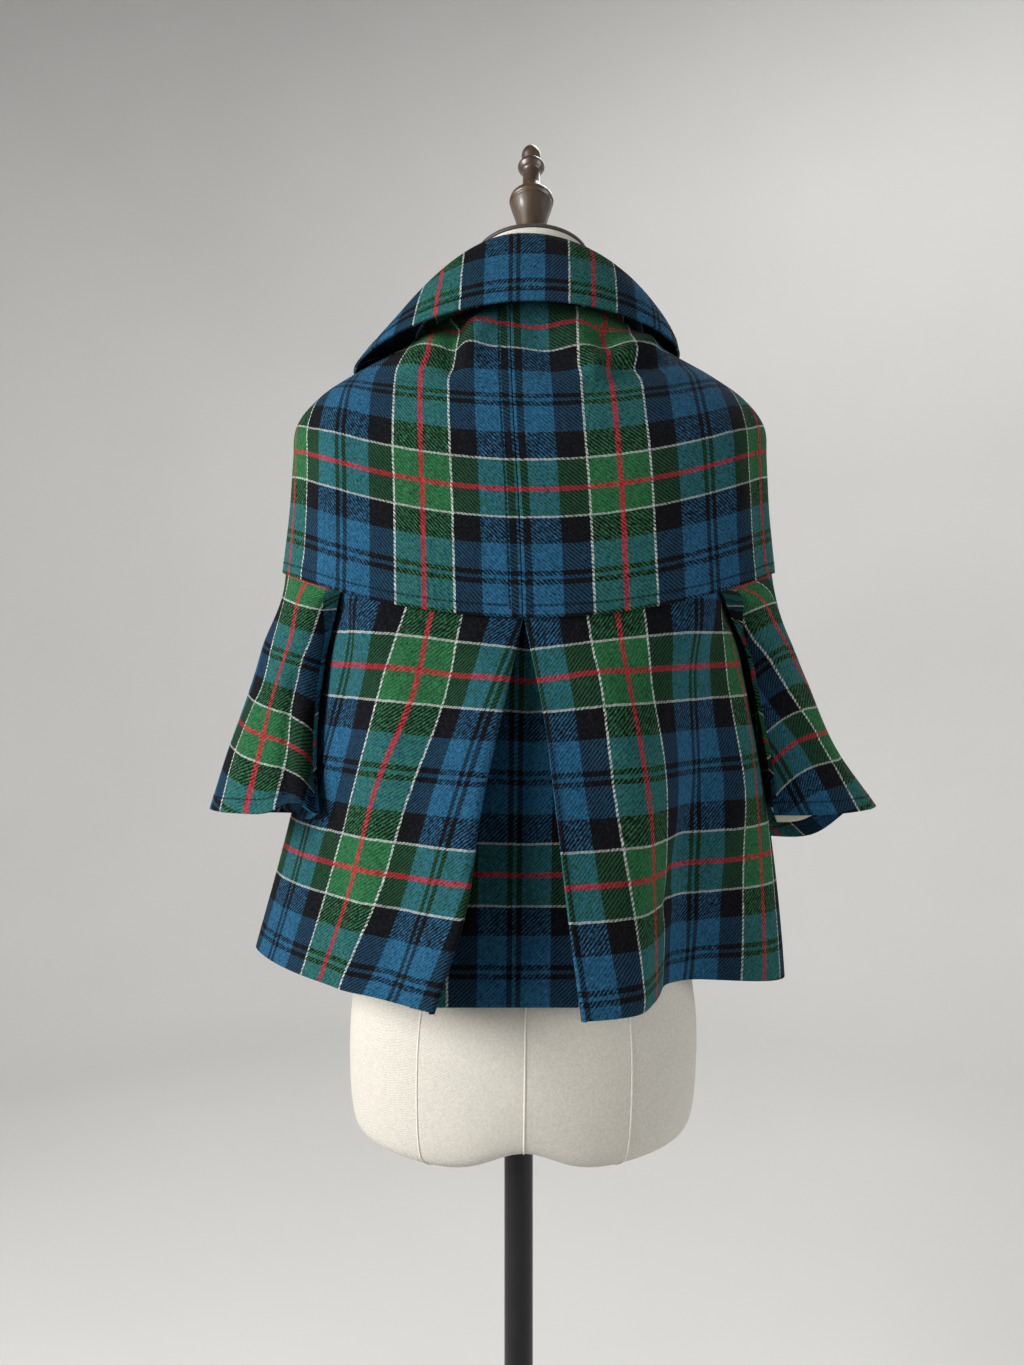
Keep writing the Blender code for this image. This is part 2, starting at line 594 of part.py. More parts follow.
def build_buttons():
    for button in BUTTONS:
        surface = skirt if button.share_of_yoke is None else yoke
        share = button.share_of_skirt if button.share_of_yoke is None else button.share_of_yoke
        angle, share = np.array([180.0]), np.array([share])
        point, normal = surface(angle, share)[0], normals_of(surface, angle, share)[0]
        rim = BUTTON_RADIUS - BUTTON_RIM
        profile = [
            Turned(0, rim),
            Turned(BUTTON_RIM, BUTTON_RADIUS),
            Turned(BUTTON_THICK - BUTTON_RIM, BUTTON_RADIUS),
            Turned(BUTTON_THICK, rim),
        ]
        made = lathe_object(button.name, profile, "dark_horn", TURNED_STEPS)
        made.location = lean(point + normal * (CLOTH / 2 + BUTTON_CLEAR))
        made.rotation_euler = (-np.arctan2(normal[1], normal[2]), 0, 0)


def form_ring(row, angles):
    """One ring of the dress form, with the slanted neck and the notch between the lobes."""
    sine, cosine = np.sin(angles), np.cos(angles)
    x = row.half_width * sine
    y = -np.where(cosine > 0, row.back, row.front) * cosine
    top = FORM_RINGS[-1].z
    slant = ease((row.z - SLANT_START) / (top - SLANT_START)) * tan(radians(NECK_SLANT))
    low = ease((NOTCH_TOP - row.z) / (NOTCH_TOP - FORM_RINGS[0].z))
    notch = low * NOTCH_RISE * np.exp(-((x / NOTCH_WIDTH) ** 2))
    return np.stack([x, y, row.z - slant * y + notch], axis=-1)


def build_form():
    angles = np.linspace(0, 2 * np.pi, FORM_AROUND, endpoint=False)
    rings = lean([form_ring(row, angles) for row in FORM_RINGS])
    mesh = bpy.data.meshes.new("form_torso")
    shape = bmesh.new()
    points = [[shape.verts.new(point) for point in ring] for ring in rings]
    for lower, upper in zip(points, points[1:]):
        for index in range(FORM_AROUND):
            after = (index + 1) % FORM_AROUND
            shape.faces.new((lower[index], lower[after], upper[after], upper[index]))
    centre = shape.verts.new(lean([0, 0, FORM_RINGS[0].z + NOTCH_RISE]))
    for index in range(FORM_AROUND):
        shape.faces.new((points[0][(index + 1) % FORM_AROUND], points[0][index], centre))
    shape.faces.new(points[-1])
    bmesh.ops.recalc_face_normals(shape, faces=shape.faces)
    shape.to_mesh(mesh)
    shape.free()
    mesh.shade_smooth()
    mesh.set_sharp_from_angle(angle=radians(SHARP_ANGLE))
    torso = add_object("form_torso", mesh, "cream_canvas")
    bore = [Turned(SOCKET_BOTTOM, SOCKET_RADIUS), Turned(SOCKET_TOP, SOCKET_RADIUS)]
    socket = lathe_object("socket_cutter", bore, "black_metal")
    coat.objects.unlink(socket)
    cutters.objects.link(socket)
    socket.hide_render = True
    socket.display_type = "WIRE"
    cut = torso.modifiers.new("Pole socket", "BOOLEAN")
    cut.operation = "DIFFERENCE"
    cut.solver = "EXACT"
    cut.object = socket


def build_stand():
    base = [
        Turned(0, BASE_RADIUS - BASE_EDGE),
        Turned(BASE_EDGE, BASE_RADIUS),
        Turned(BASE_THICK - BASE_EDGE, BASE_RADIUS),
        Turned(BASE_THICK, BASE_RADIUS - BASE_EDGE),
        Turned(BASE_THICK, BASE_HUB_RADIUS),
        Turned(BASE_HUB_TOP, BASE_HUB_RADIUS - BASE_EDGE),
    ]
    lathe_object("stand_base", base, "black_metal", 2 * TURNED_STEPS)
    pole = [Turned(BASE_HUB_TOP + SEAM_GAP, POLE_RADIUS), Turned(POLE_TOP, POLE_RADIUS)]
    lathe_object("stand_pole", pole, "black_metal")


def build_neck():
    plate = [
        Turned(0, 1 - PLATE_EDGE / PLATE_HALF_WIDTH),
        Turned(PLATE_EDGE, 1),
        Turned(PLATE_THICK - PLATE_EDGE, 1),
        Turned(PLATE_THICK, 1 - PLATE_EDGE / PLATE_HALF_WIDTH),
    ]
    made = lathe_object("neck_plate", plate, "dark_plate", 2 * TURNED_STEPS)
    top = lean([0, 0, FORM_RINGS[-1].z])
    slant = radians(NECK_SLANT)
    up = np.array([0, np.sin(slant), np.cos(slant)])
    made.location = top + up * SEAM_GAP
    made.rotation_euler = (-slant, 0, 0)
    made.scale = (PLATE_HALF_WIDTH, PLATE_HALF_DEPTH / np.cos(slant), 1)
    knob = lathe_object("finial", FINIAL, "turned_wood")
    knob.location = top + up * (PLATE_THICK + 2 * SEAM_GAP)
    knob.rotation_euler = (-slant, 0, 0)


for old in list(bpy.data.objects):
    bpy.data.objects.remove(old)
coat = bpy.data.collections.new("cape_coat_on_form")
cutters = bpy.data.collections.new("cutters")
bpy.context.scene.collection.children.link(coat)
bpy.context.scene.collection.children.link(cutters)
build_yoke()
build_skirt()
build_sleeves()
build_collar()
build_buttons()
build_form()
build_stand()
build_neck()
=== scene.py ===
"""Looks of a tartan wool cape coat on a canvas dress form with a turned finial and a black stand."""

from collections import namedtuple
from math import acos, cos, pi, radians, sin, tan

import bmesh
import bpy
import numpy as np
from mathutils import Matrix, Vector


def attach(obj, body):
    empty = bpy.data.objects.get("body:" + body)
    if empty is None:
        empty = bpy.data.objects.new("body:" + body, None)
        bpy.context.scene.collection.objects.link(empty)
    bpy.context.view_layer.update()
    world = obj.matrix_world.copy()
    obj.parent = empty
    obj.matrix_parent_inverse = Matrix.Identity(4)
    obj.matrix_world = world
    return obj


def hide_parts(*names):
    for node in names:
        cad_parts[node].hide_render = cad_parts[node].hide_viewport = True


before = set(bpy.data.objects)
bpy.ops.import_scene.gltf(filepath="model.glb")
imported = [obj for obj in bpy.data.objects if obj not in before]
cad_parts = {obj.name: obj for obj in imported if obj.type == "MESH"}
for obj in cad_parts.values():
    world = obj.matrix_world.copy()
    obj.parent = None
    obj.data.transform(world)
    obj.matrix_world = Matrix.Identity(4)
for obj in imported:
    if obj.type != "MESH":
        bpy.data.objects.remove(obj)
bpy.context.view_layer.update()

# Frame: metres, +Z up, the coat's back faces -Y, its wearer's right side is +X.
# The shapes below follow the part's own tables.

# Cloth
CLOTH = 0.0020  # wall of the wool twill
LAYER_STEP = 0.0029  # from one cloth's middle to the next one's, where two lie together
SEAM_GAP = 0.0003  # between two pieces sewn edge to edge
SIDE_GAP = 0.0006  # from the side line to each piece that is sewn there
LAP = 0.006  # how far a lower piece goes up behind the yoke
SIDES = [("left", -1), ("right", 1)]
LEAN = 0.0115  # the form leans to +X by this much for each metre of height
LEAN_START = 0.45  # height at which the lean starts

# Closed rings round the body, read from centre back: half width at the sides, reach to the
# back and to the front, and the height at the back, at the side and at the front. A squareness
# of 2 is an ellipse, and less draws the ring in to a point at the centre.
RING = "half_width back front back_z side_z front_z square_back square_front"
Ring = namedtuple("Ring", RING, defaults=(2.0, 2.0))

YOKE_RINGS = [
    Ring(0.098, 0.0780, 0.105, 1.4050, 1.3930, 1.300),  # neck seam
    Ring(0.120, 0.0880, 0.113, 1.3740, 1.3820, 1.293),
    Ring(0.155, 0.0990, 0.124, 1.3380, 1.3640, 1.283),
    Ring(0.184, 0.1090, 0.132, 1.3020, 1.3450, 1.270),
    Ring(0.2025, 0.1175, 0.137, 1.2700, 1.3210, 1.252),  # shoulder corner
    Ring(0.2050, 0.1240, 0.140, 1.2380, 1.2910, 1.230),
    Ring(0.2075, 0.1295, 0.142, 1.1960, 1.2470, 1.200),
    Ring(0.2130, 0.1345, 0.143, 1.1485, 1.1950, 1.165),  # lower edge
]
SKIRT_RINGS = [
    Ring(0.170, 0.1345, 0.141, 1.1485, 1.1950, 1.165, 2.2, 2.2),
    Ring(0.178, 0.1490, 0.146, 1.0780, 1.1110, 1.088, 1.9, 2.2),
    Ring(0.194, 0.1640, 0.151, 1.0080, 1.0270, 1.012, 1.65, 2.1),
    Ring(0.213, 0.1830, 0.157, 0.9380, 0.9430, 0.936, 1.45, 2.0),
    Ring(0.2345, 0.2030, 0.163, 0.8680, 0.8555, 0.860, 1.30, 2.0),  # hem
]
COLLAR_RINGS = [
    Ring(0.0957, 0.0752, 0.1052, 1.4018, 1.3940, 1.3031),  # tucked into the yoke's neck
    Ring(0.1050, 0.0755, 0.1080, 1.4270, 1.4010, 1.3080),
    Ring(0.1120, 0.0740, 0.1120, 1.4440, 1.4055, 1.3130),
    Ring(0.1170, 0.0740, 0.1150, 1.4550, 1.4085, 1.3170),
    Ring(0.1205, 0.0775, 0.1185, 1.4590, 1.4090, 1.3185),  # fold
    Ring(0.1255, 0.0830, 0.1225, 1.4560, 1.4060, 1.3165),
    Ring(0.1330, 0.0900, 0.1280, 1.4400, 1.3975, 1.3090),
    Ring(0.1385, 0.0960, 0.1320, 1.4190, 1.3880, 1.3020),
    Ring(0.1415, 0.1010, 0.1350, 1.3975, 1.3775, 1.2960),  # loose edge
]
COLLAR_ROLL = 0.045  # the collar stands higher to +X, by this much for each metre across
COLLAR_SHIFT = -0.0125  # and its loose edge is pulled over to -X
COLLAR_DRAWN = 0.5  # share of the collar over which both set in
LEFT_DROP, LEFT_REACH = 0.020, 0.125  # how far its -X side sinks, and how far out that is
LEFT_SINK = [0, 0, 0.40, 0.75, 0.95, 1.0, 0.8, 0.5, 0.12]  # share of the drop at each ring
LEFT_FADE = 0.045  # from the side line forwards, where the drop has gone
COLLAR_END = 0.014  # from the centre front to the collar's ends

# Soft folds where the yoke bunches under the collar, from end to end as seen from behind
YokeFold = namedtuple("YokeFold", "start_x start_z end_x end_z width lift")
YOKE_FOLDS = [
    YokeFold(-0.040, 1.398, -0.050, 1.362, 0.012, 0.008),
    YokeFold(-0.060, 1.385, -0.064, 1.352, 0.009, -0.006),
    YokeFold(-0.082, 1.374, -0.095, 1.360, 0.012, 0.005),
    YokeFold(0.000, 1.392, 0.014, 1.358, 0.018, -0.006),
    YokeFold(0.034, 1.385, 0.036, 1.368, 0.014, 0.004),
    YokeFold(0.056, 1.378, 0.064, 1.352, 0.010, -0.005),
    YokeFold(0.047, 1.347, 0.092, 1.376, 0.011, 0.008),
    YokeFold(0.050, 1.335, 0.095, 1.355, 0.012, -0.003),
]
FOLDS_START = 0.08  # share of the yoke, from the neck, over which the folds set in

# The centre back seam's place across, in even steps from the neck to the yoke's lower edge
SEAM_SHIFT = [-0.0190, -0.0155, -0.0105, -0.0056]

# Flutes of the skirt, which deepen from the yoke down: the angle from centre back, the angle
# over which each one fades, and how far it stands out at the hem and, besides, half way down
Flute = namedtuple("Flute", "angle spread hem half_way")
FLUTES = [
    Flute(24, 11, 0.010, 0),
    Flute(51, 14, -0.050, 0),
    Flute(92, 18, -0.007, 0.014),
    Flute(-45, 16, -0.004, 0),
    Flute(128, 13, 0.011, 0),
    Flute(152, 12, -0.008, 0),
    Flute(-118, 14, 0.010, 0),
    Flute(-146, 14, -0.007, 0),
]
FLUTE_POWER = 1.4  # above 1 the flutes deepen faster near the hem

# Inverted box pleat at the centre back, in even steps from the yoke to the hem: its two outer
# folds and its two inner folds
Pleat = namedtuple("Pleat", "left_fold right_fold left_inner right_inner")
PLEAT = [
    Pleat(-0.0082, -0.0018, -0.056, 0.046),
    Pleat(-0.0232, 0.0130, -0.060, 0.046),
    Pleat(-0.0379, 0.0225, -0.066, 0.047),
    Pleat(-0.0477, 0.0310, -0.073, 0.049),
    Pleat(-0.0700, 0.0410, -0.085, 0.054),
]
UNDERLAY_Y = -0.1230  # where its underlay hangs, straight down from the yoke
UNDERLAY_DROP = 0.0125  # how far the underlay's hem hangs below the folds
FOLD_RADIUS = 0.0021
HEM_TILT = 0.013  # how much lower the hem hangs at its +X side, and higher at its -X side

# Bell sleeves, in even steps from the yoke to the hem: angles from centre back of the edges
# that face the body, how far the outer side stands out, and how far the sleeve hangs off the body
Sleeve = namedtuple("Sleeve", "back_angle front_angle reach off")
LEFT_SLEEVE = [
    Sleeve(49.5, 133, 0.036, 0),
    Sleeve(64, 120, 0.0437, 0.002),
    Sleeve(65.5, 117, 0.049, 0.004),
    Sleeve(62.5, 117, 0.056, 0.004),
    Sleeve(57, 118, 0.060, 0.004),
]
RIGHT_SLEEVE = [
    Sleeve(50, 133, 0.040, 0),
    Sleeve(78, 125, 0.0455, 0.004),
    Sleeve(81.5, 125, 0.0565, 0.006),
    Sleeve(83, 126, 0.0735, 0.006),
    Sleeve(80.5, 128, 0.102, 0.006),
]

# Height of a sleeve's hem in even steps from its back edge round its outer side to its front edge
LEFT_HEM = [0.996, 0.993, 0.990, 0.980, 0.974]
RIGHT_HEM = [0.986, 0.989, 0.984, 0.949, 0.948]
SLEEVES = [("left", -1, LEFT_SLEEVE, LEFT_HEM), ("right", 1, RIGHT_SLEEVE, RIGHT_HEM)]
SLEEVE_CLEAR = 0.0042  # from the skirt's middle to the sleeve's nearer wall
SLEEVE_FULLNESS = 0.45  # below 1 the sleeve fills out towards its two edges
SLEEVE_BLEND = 0.30  # share of the sleeve over which it leaves the yoke's curve
SLEEVE_SPRING = 1.7  # above 1 it leaves faster near the yoke
ARMHOLE_START = 30  # angle at which the skirt leaves the yoke to pass under the arm
ARMHOLE_END = 80
ARMHOLE_DEPTH = 0.042  # how far it passes in at the side
SKIRT_BLEND = 0.22  # share of the skirt over which it leaves the yoke's curve
LINING_TOP, LINING_END = 0.45, 0.93  # shares of the sleeve between which its lining is seen
LINING_EDGE = 0.16  # share of the sleeve's outer side left bare at each edge of the lining
LINING_STEP = 0.0032  # from the sleeve's middle to its lining's

# Front closing
OVERLAP = 0.020  # each front passes the centre front by this much
TUCK_START, TUCK_DONE = 0.110, 0.050  # where the under front starts to sink, and has sunk
TUCK_END = 0.12  # share of the skirt below which it no longer lies under both yoke fronts
Button = namedtuple("Button", "name share_of_yoke share_of_skirt")
BUTTONS = [
    Button("button_1", 0.30, None),
    Button("button_2", 0.72, None),
    Button("button_3", None, 0.22),
    Button("button_4", None, 0.58),
]
BUTTON_RADIUS, BUTTON_THICK, BUTTON_RIM = 0.0110, 0.0034, 0.0006
BUTTON_CLEAR = 0.0005

# Outlines of turned pieces, from the foot up
Turned = namedtuple("Turned", "height radius")
BUTTON = [
    Turned(0, BUTTON_RADIUS - BUTTON_RIM),
    Turned(BUTTON_RIM, BUTTON_RADIUS),
    Turned(BUTTON_THICK - BUTTON_RIM, BUTTON_RADIUS),
    Turned(BUTTON_THICK, BUTTON_RADIUS - BUTTON_RIM),
    Turned(BUTTON_THICK, 0.80 * BUTTON_RADIUS),  # dished face
    Turned(0.72 * BUTTON_THICK, 0.62 * BUTTON_RADIUS),
    Turned(0.66 * BUTTON_THICK, 0.40 * BUTTON_RADIUS),
]

# Dress form: height, half width, reach to the back and to the front
FormRing = namedtuple("FormRing", "z half_width back front")
FORM_RINGS = [
    FormRing(0.7120, 0.118, 0.084, 0.074),
    FormRing(0.7165, 0.136, 0.100, 0.089),
    FormRing(0.7300, 0.1465, 0.111, 0.098),
    FormRing(0.7700, 0.1505, 0.116, 0.103),
    FormRing(0.8200, 0.1495, 0.114, 0.104),
    FormRing(0.8800, 0.1390, 0.104, 0.101),
    FormRing(0.9400, 0.1240, 0.090, 0.095),
    FormRing(1.0000, 0.1120, 0.079, 0.089),
    FormRing(1.0600, 0.1130, 0.079, 0.091),
    FormRing(1.1200, 0.1240, 0.089, 0.104),
    FormRing(1.1800, 0.1370, 0.100, 0.120),
    FormRing(1.2300, 0.1460, 0.105, 0.121),
    FormRing(1.2800, 0.1590, 0.100, 0.105),
    FormRing(1.3150, 0.1680, 0.089, 0.084),
    FormRing(1.3400, 0.1690, 0.072, 0.068),
    FormRing(1.3500, 0.1650, 0.066, 0.064),
    FormRing(1.3585, 0.1595, 0.063, 0.060),
    FormRing(1.3690, 0.1425, 0.060, 0.056),
    FormRing(1.3800, 0.1203, 0.058, 0.050),
    FormRing(1.3920, 0.0930, 0.058, 0.048),
    FormRing(1.4050, 0.0700, 0.059, 0.049),
    FormRing(1.4200, 0.0590, 0.056, 0.046),
    FormRing(1.4420, 0.0530, 0.049, 0.043),
    FormRing(1.4680, 0.0500, 0.042, 0.042),
]
NECK_SLANT = 18  # degrees by which the neck's top falls to the front
SLANT_START = 1.405  # height at which the neck's rings start to slant
NOTCH_RISE, NOTCH_WIDTH, NOTCH_TOP = 0.016, 0.034, 0.800  # dip between the two lower lobes
SOCKET_RADIUS, SOCKET_TOP = 0.0129, 0.86
FORM_EASE = 0.0008  # the canvas is drawn in by this much where the cloth lies on it
FORM_EASE_START, FORM_EASE_DONE = 1.10, 1.25

# Stand and neck
POLE_RADIUS, POLE_TOP, POLE_EDGE = 0.0125, 0.855, 0.0006
BASE_RADIUS, BASE_THICK, BASE_EDGE = 0.160, 0.012, 0.003
HUB_RADIUS, HUB_TOP = 0.024, 0.034
BASE = [
    Turned(0, BASE_RADIUS - BASE_EDGE),
    Turned(0.0010, BASE_RADIUS - 0.0010),
    Turned(BASE_EDGE, BASE_RADIUS),
    Turned(BASE_THICK - BASE_EDGE, BASE_RADIUS),
    Turned(BASE_THICK - 0.0008, BASE_RADIUS - 0.0009),
    Turned(BASE_THICK, BASE_RADIUS - BASE_EDGE),
    Turned(BASE_THICK, HUB_RADIUS + 0.004),  # fillet at the hub
    Turned(BASE_THICK + 0.002, HUB_RADIUS + 0.001),
    Turned(BASE_THICK + 0.006, HUB_RADIUS),
    Turned(HUB_TOP - 0.002, HUB_RADIUS - 0.002),
    Turned(HUB_TOP, HUB_RADIUS - BASE_EDGE - 0.002),
]
POLE = [
    Turned(HUB_TOP + SEAM_GAP, POLE_RADIUS - POLE_EDGE),
    Turned(HUB_TOP + SEAM_GAP + POLE_EDGE, POLE_RADIUS),
    Turned(POLE_TOP - POLE_EDGE, POLE_RADIUS),
    Turned(POLE_TOP, POLE_RADIUS - POLE_EDGE),
]
PLATE_HALF_WIDTH, PLATE_HALF_DEPTH, PLATE_THICK, PLATE_EDGE = 0.0505, 0.0425, 0.0032, 0.0008
PLATE_DRAWN = PLATE_EDGE / PLATE_HALF_WIDTH  # its rounded edge, for a radius of 1
PLATE = [
    Turned(0, 1 - PLATE_DRAWN),
    Turned(0.3 * PLATE_EDGE, 1 - 0.3 * PLATE_DRAWN),
    Turned(PLATE_EDGE, 1),
    Turned(PLATE_THICK - PLATE_EDGE, 1),
    Turned(PLATE_THICK - 0.3 * PLATE_EDGE, 1 - 0.3 * PLATE_DRAWN),
    Turned(PLATE_THICK, 1 - PLATE_DRAWN),
]
FINIAL = [
    Turned(0.0000, 0.0165),
    Turned(0.0050, 0.0175),
    Turned(0.0090, 0.0150),
    Turned(0.0130, 0.0120),
    Turned(0.0250, 0.0118),
    Turned(0.0340, 0.0128),
    Turned(0.0450, 0.0150),
    Turned(0.0540, 0.0176),
    Turned(0.0588, 0.0188),
    Turned(0.0600, 0.0182),
    Turned(0.0620, 0.0197),
    Turned(0.0645, 0.0197),
    Turned(0.0670, 0.0185),
    Turned(0.0720, 0.0130),
    Turned(0.0780, 0.0092),
    Turned(0.0840, 0.0080),
    Turned(0.0950, 0.0080),
    Turned(0.0985, 0.0104),
    Turned(0.1020, 0.0122),
    Turned(0.1055, 0.0108),
    Turned(0.1080, 0.0076),
    Turned(0.1105, 0.0078),
    Turned(0.1150, 0.0088),
    Turned(0.1200, 0.0076),
    Turned(0.1245, 0.0042),
]

# Cords along the form's seams: their angles from centre back, and how far up the form they go
PIPING = {
    "back": 0,
    "back_left": -34,
    "back_right": 34,
    "side_left": -90,
    "side_right": 90,
    "front_left": -146,
    "front_right": 146,
    "front": 180,
}
PIPING_SHARES, PIPING_RADIUS = (0.03, 0.36), 0.0008

# Angles among which the edges at the centre back and the centre front are looked for
BACK_ANGLES = np.linspace(-80, 80, 641)
FRONT_ANGLES = np.linspace(150, 210, 241)
COLLAR_ANGLES = np.linspace(120, 180, 241)

# Grid counts of the cloth and steps of the turned pieces
YOKE_ACROSS, YOKE_DOWN = 84, 80
SKIRT_ACROSS, SKIRT_DOWN = 56, 84
PLEAT_STEPS = 10
COLLAR_AROUND, COLLAR_DOWN = 150, 44
SLEEVE_AROUND, SLEEVE_DOWN = 44, 60
FORM_AROUND, FORM_UP = 96, 150
PIPING_ROWS, PIPING_SIDES = 60, 8
BUTTON_STEPS, NECK_STEPS, POLE_STEPS, BASE_STEPS = 40, 64, 48, 96
FINIAL_PARTS = 5  # steps from one row of the finial's outline to the next
MERGE = 0.00001
RIM_WIDTH, RIM_STEPS, RIM_ANGLE = 0.0006, 2, 60  # rounding of the cloth's cut edges
SHARP_TURNED, SHARP_FORM = 40, 50  # degrees past which an edge is not smoothed over

# Sett of the tartan, from the middle of a red stripe to the middle of a pair of dark lines. It
# is turned back at both ends, so a whole repeat is twice as long.
Stripe = namedtuple("Stripe", "colour width")
SETT = [
    Stripe("red", 0.00180),
    Stripe("green", 0.02080),
    Stripe("white", 0.00180),
    Stripe("black", 0.02175),
    Stripe("blue", 0.02230),
    Stripe("line", 0.00410),
    Stripe("blue", 0.00145),
]
HALF_SETT = sum(stripe.width for stripe in SETT)
REPEAT = 2 * HALF_SETT

# Yarns: the colour, and how far the yarn stands out over those that cross it, from 0 to 1
Yarn = namedtuple("Yarn", "red green blue lead")
YARNS = {
    "red": Yarn(0.215, 0.018, 0.022, 0.42),
    "green": Yarn(0.0140, 0.0740, 0.0290, 0),
    "white": Yarn(0.270, 0.290, 0.270, 0.27),
    "black": Yarn(0.0032, 0.0035, 0.0048, 0.16),
    "blue": Yarn(0.0106, 0.0575, 0.1125, 0),
    "line": Yarn(0.0030, 0.0034, 0.0048, 0.20),
}
TWILL = 0.0034  # from one diagonal to the next, along a thread
FLECK_STRETCH = 0.30  # width of the flecks of the twill over their length

# Unevenness of the wool: cells to the metre, detail and roughness of each noise, and its weights
# in which yarn shows, in the shade and in the relief
WOOL_NOISE = {
    "wander": (140, 3, 0.5),
    "fibre": (1400, 3, 0.6),
    "tuft": (440, 3, 0.6),
    "cloud": (22, 2, 0.5),
    "swell": (95, 2, 0.5),
}
FLECK_NOISE = (620, 2, 0.6)
WOOL_OVER = {"rib": 0.40, "fleck": 2.0, "tuft": 1.2}
# the rib's weight in the shade darkens the grooves between the twill's diagonals, which is painted
# shade; the other weights in the shade are the wool's uneven tone
WOOL_SHADE, WOOL_SHADE_MEAN = {"rib": 0.20, "fleck": 1.7, "tuft": 1.9, "fibre": 1.0, "cloud": 0.3}, 0.97
WOOL_RELIEF = {"rib": 0.24, "fleck": 1.0, "fibre": 0.55, "tuft": 0.9, "swell": 2.4, "groove": -1.2}
WOOL_BUMP = (0.0006, 0.8)  # distance and strength
WOOL_WANDER, RIB_WANDER = 0.0011, 0.0012  # how far a stripe's edge and a diagonal stray
WOOL_ROUGH, WOOL_ROUGH_SPREAD = 0.92, 0.12
WOOL_FINISH = {"Sheen Weight": 0.02, "Sheen Roughness": 0.5, "Specular IOR Level": 0.03}
GROOVE, GROOVE_PAINTED_SHADE = (0.0003, 0.0013), 0.25  # dip along the stitches, and how far painted shade darkens the cloth in it
FUZZ_GAIN, FUZZ_MOST, FUZZ_COLOUR = 3, 0.06, (0.060, 0.066, 0.068, 1)

# Plain weaves: colours of both threads, from one thread to the next, and roughness
Weave = namedtuple("Weave", "warp weft thread rough")
LINING_WEAVE = Weave((0.70, 0.64, 0.52, 1), (0.76, 0.70, 0.58, 1), 0.0006, 0.42)
CANVAS_WEAVE = Weave((0.40, 0.379, 0.336, 1), (0.475, 0.456, 0.411, 1), 0.0020, 0.78)
PIPING_WEAVE = Weave((0.57, 0.54, 0.48, 1), (0.64, 0.61, 0.55, 1), 0.0008, 0.75)
WEAVE_NOISE = {"slub": (60, 3), "cloud": (9, 3), "grit": (480, 3), "fuzz": (600, 2)}
WEAVE_SHADE, WEAVE_SHADE_LEAST = {"cloud": 0.14, "grit": 0.48}, 0.70
WEAVE_RELIEF, WEAVE_BUMP = {"over": 0.5, "slub": 0.4, "fuzz": 0.8}, (0.0006, 0.8)
WEAVE_BEND, WEAVE_ROUGH_SPREAD = 2, 0.1
WEAVE_FINISH = {"Sheen Weight": 0.1, "Specular IOR Level": 0.3}

# Wood, with its grain drawn out up the piece
WOOD_DARK, WOOD_PALE = (0.014, 0.008, 0.005, 1), (0.082, 0.046, 0.025, 1)
WOOD_DRAWN = (1, 1, 0.16)
WOOD_NOISE, PORE_NOISE = {"grain": (260, 4, 0.6), "figure": (70, 3)}, (1200, 2)
WOOD_SHADE, WOOD_SHADE_LEAST = {"grain": 0.8, "figure": 0.7}, -0.35
WOOD_RELIEF, WOOD_BUMP = {"grain": 1, "pore": 0.4}, (0.0003, 0.5)
WOOD_ROUGH, WOOD_ROUGH_SPREAD = 0.34, 0.22
WOOD_FINISH = {"Coat Roughness": 0.12, "Coat Weight": 0.45}

# Dark paint and lacquer, with a fine uneven bloom
Dark = namedtuple("Dark", "low high rough cells")
PLATE_DARK = Dark((0.030, 0.026, 0.023, 1), (0.062, 0.052, 0.046, 1), 0.40, 30)
METAL_DARK = Dark((0.003, 0.003, 0.004, 1), (0.010, 0.010, 0.011, 1), 0.30, 40)
SPECK_FINER = 22  # how much finer the specks are than the bloom
BLOOM_DETAIL, SPECK_DETAIL = (4, 0.6), 2
BLOOM_RELIEF, DARK_BUMP = 0.5, (0.0002, 0.4)
DARK_ROUGH_SPREAD = 0.18
DARK_FINISH = {"Specular IOR Level": 0.25}

# Horn, with four sewing holes drawn as painted shade and a dip in the relief; their places and squared
# radii are shares of the button's radius
HORN_DARK, HORN_PALE = (0.016, 0.010, 0.008, 1), (0.075, 0.046, 0.028, 1)
HORN_NOISE = (150, 3, 0.6)
HOLE_AT, HOLE_SQUARED, HOLE_PAINTED_SHADE = 0.19, (0.008, 0.013), 0.9
HORN_RELIEF, HORN_BUMP = {"streak": 0.15, "hole": -1}, (0.0008, 0.8)
HORN_ROUGH, HORN_ROUGH_SPREAD = 0.22, 0.2
HORN_FINISH = {"Coat Weight": 0.3, "Coat Roughness": 0.2}

# Sewing thread and floor
THREAD_DARK, THREAD_PALE = (0.0036, 0.0054, 0.0066, 1), (0.006, 0.009, 0.011, 1)
THREAD_NOISE, THREAD_BUMP = (2600, 2), (0.0002, 1)
THREAD_ROUGH, THREAD_ROUGH_SPREAD = 0.7, 0.2
THREAD_FINISH = {"Specular IOR Level": 0.05}
FLOOR_DARK, FLOOR_PALE = (0.50, 0.497, 0.490, 1), (0.55, 0.547, 0.540, 1)
FLOOR_NOISE = (1.5, 3)
FLOOR_ROUGH, FLOOR_ROUGH_SPREAD = 0.75, 0.1
FLOOR_FINISH = {"Specular IOR Level": 0.2}

# How the cuts lie on the cloth: from the pair of dark lines, across the cloth and down it
WHITE = HALF_SETT - SETT[0].width - SETT[1].width - SETT[2].width / 2  # the white stripe's middle
YOKE_WEFT_START = 1.3195  # height of the pair of dark lines at the centre back
SKIRT_WEFT_START, SKIRT_WEFT_STRETCH = 0.0259, 1.008  # at the yoke seam's middle, and down from it
SKIRT_WEFT_RISE = 0.145  # for each metre to the side, at the yoke
SKIRT_WEFT_TILT = 0.5  # share of the hem's tilt by which the stripes rise and fall besides
UNDERLAY_PAIR = -0.0095  # place across of the pair of dark lines on the pleat's underlay

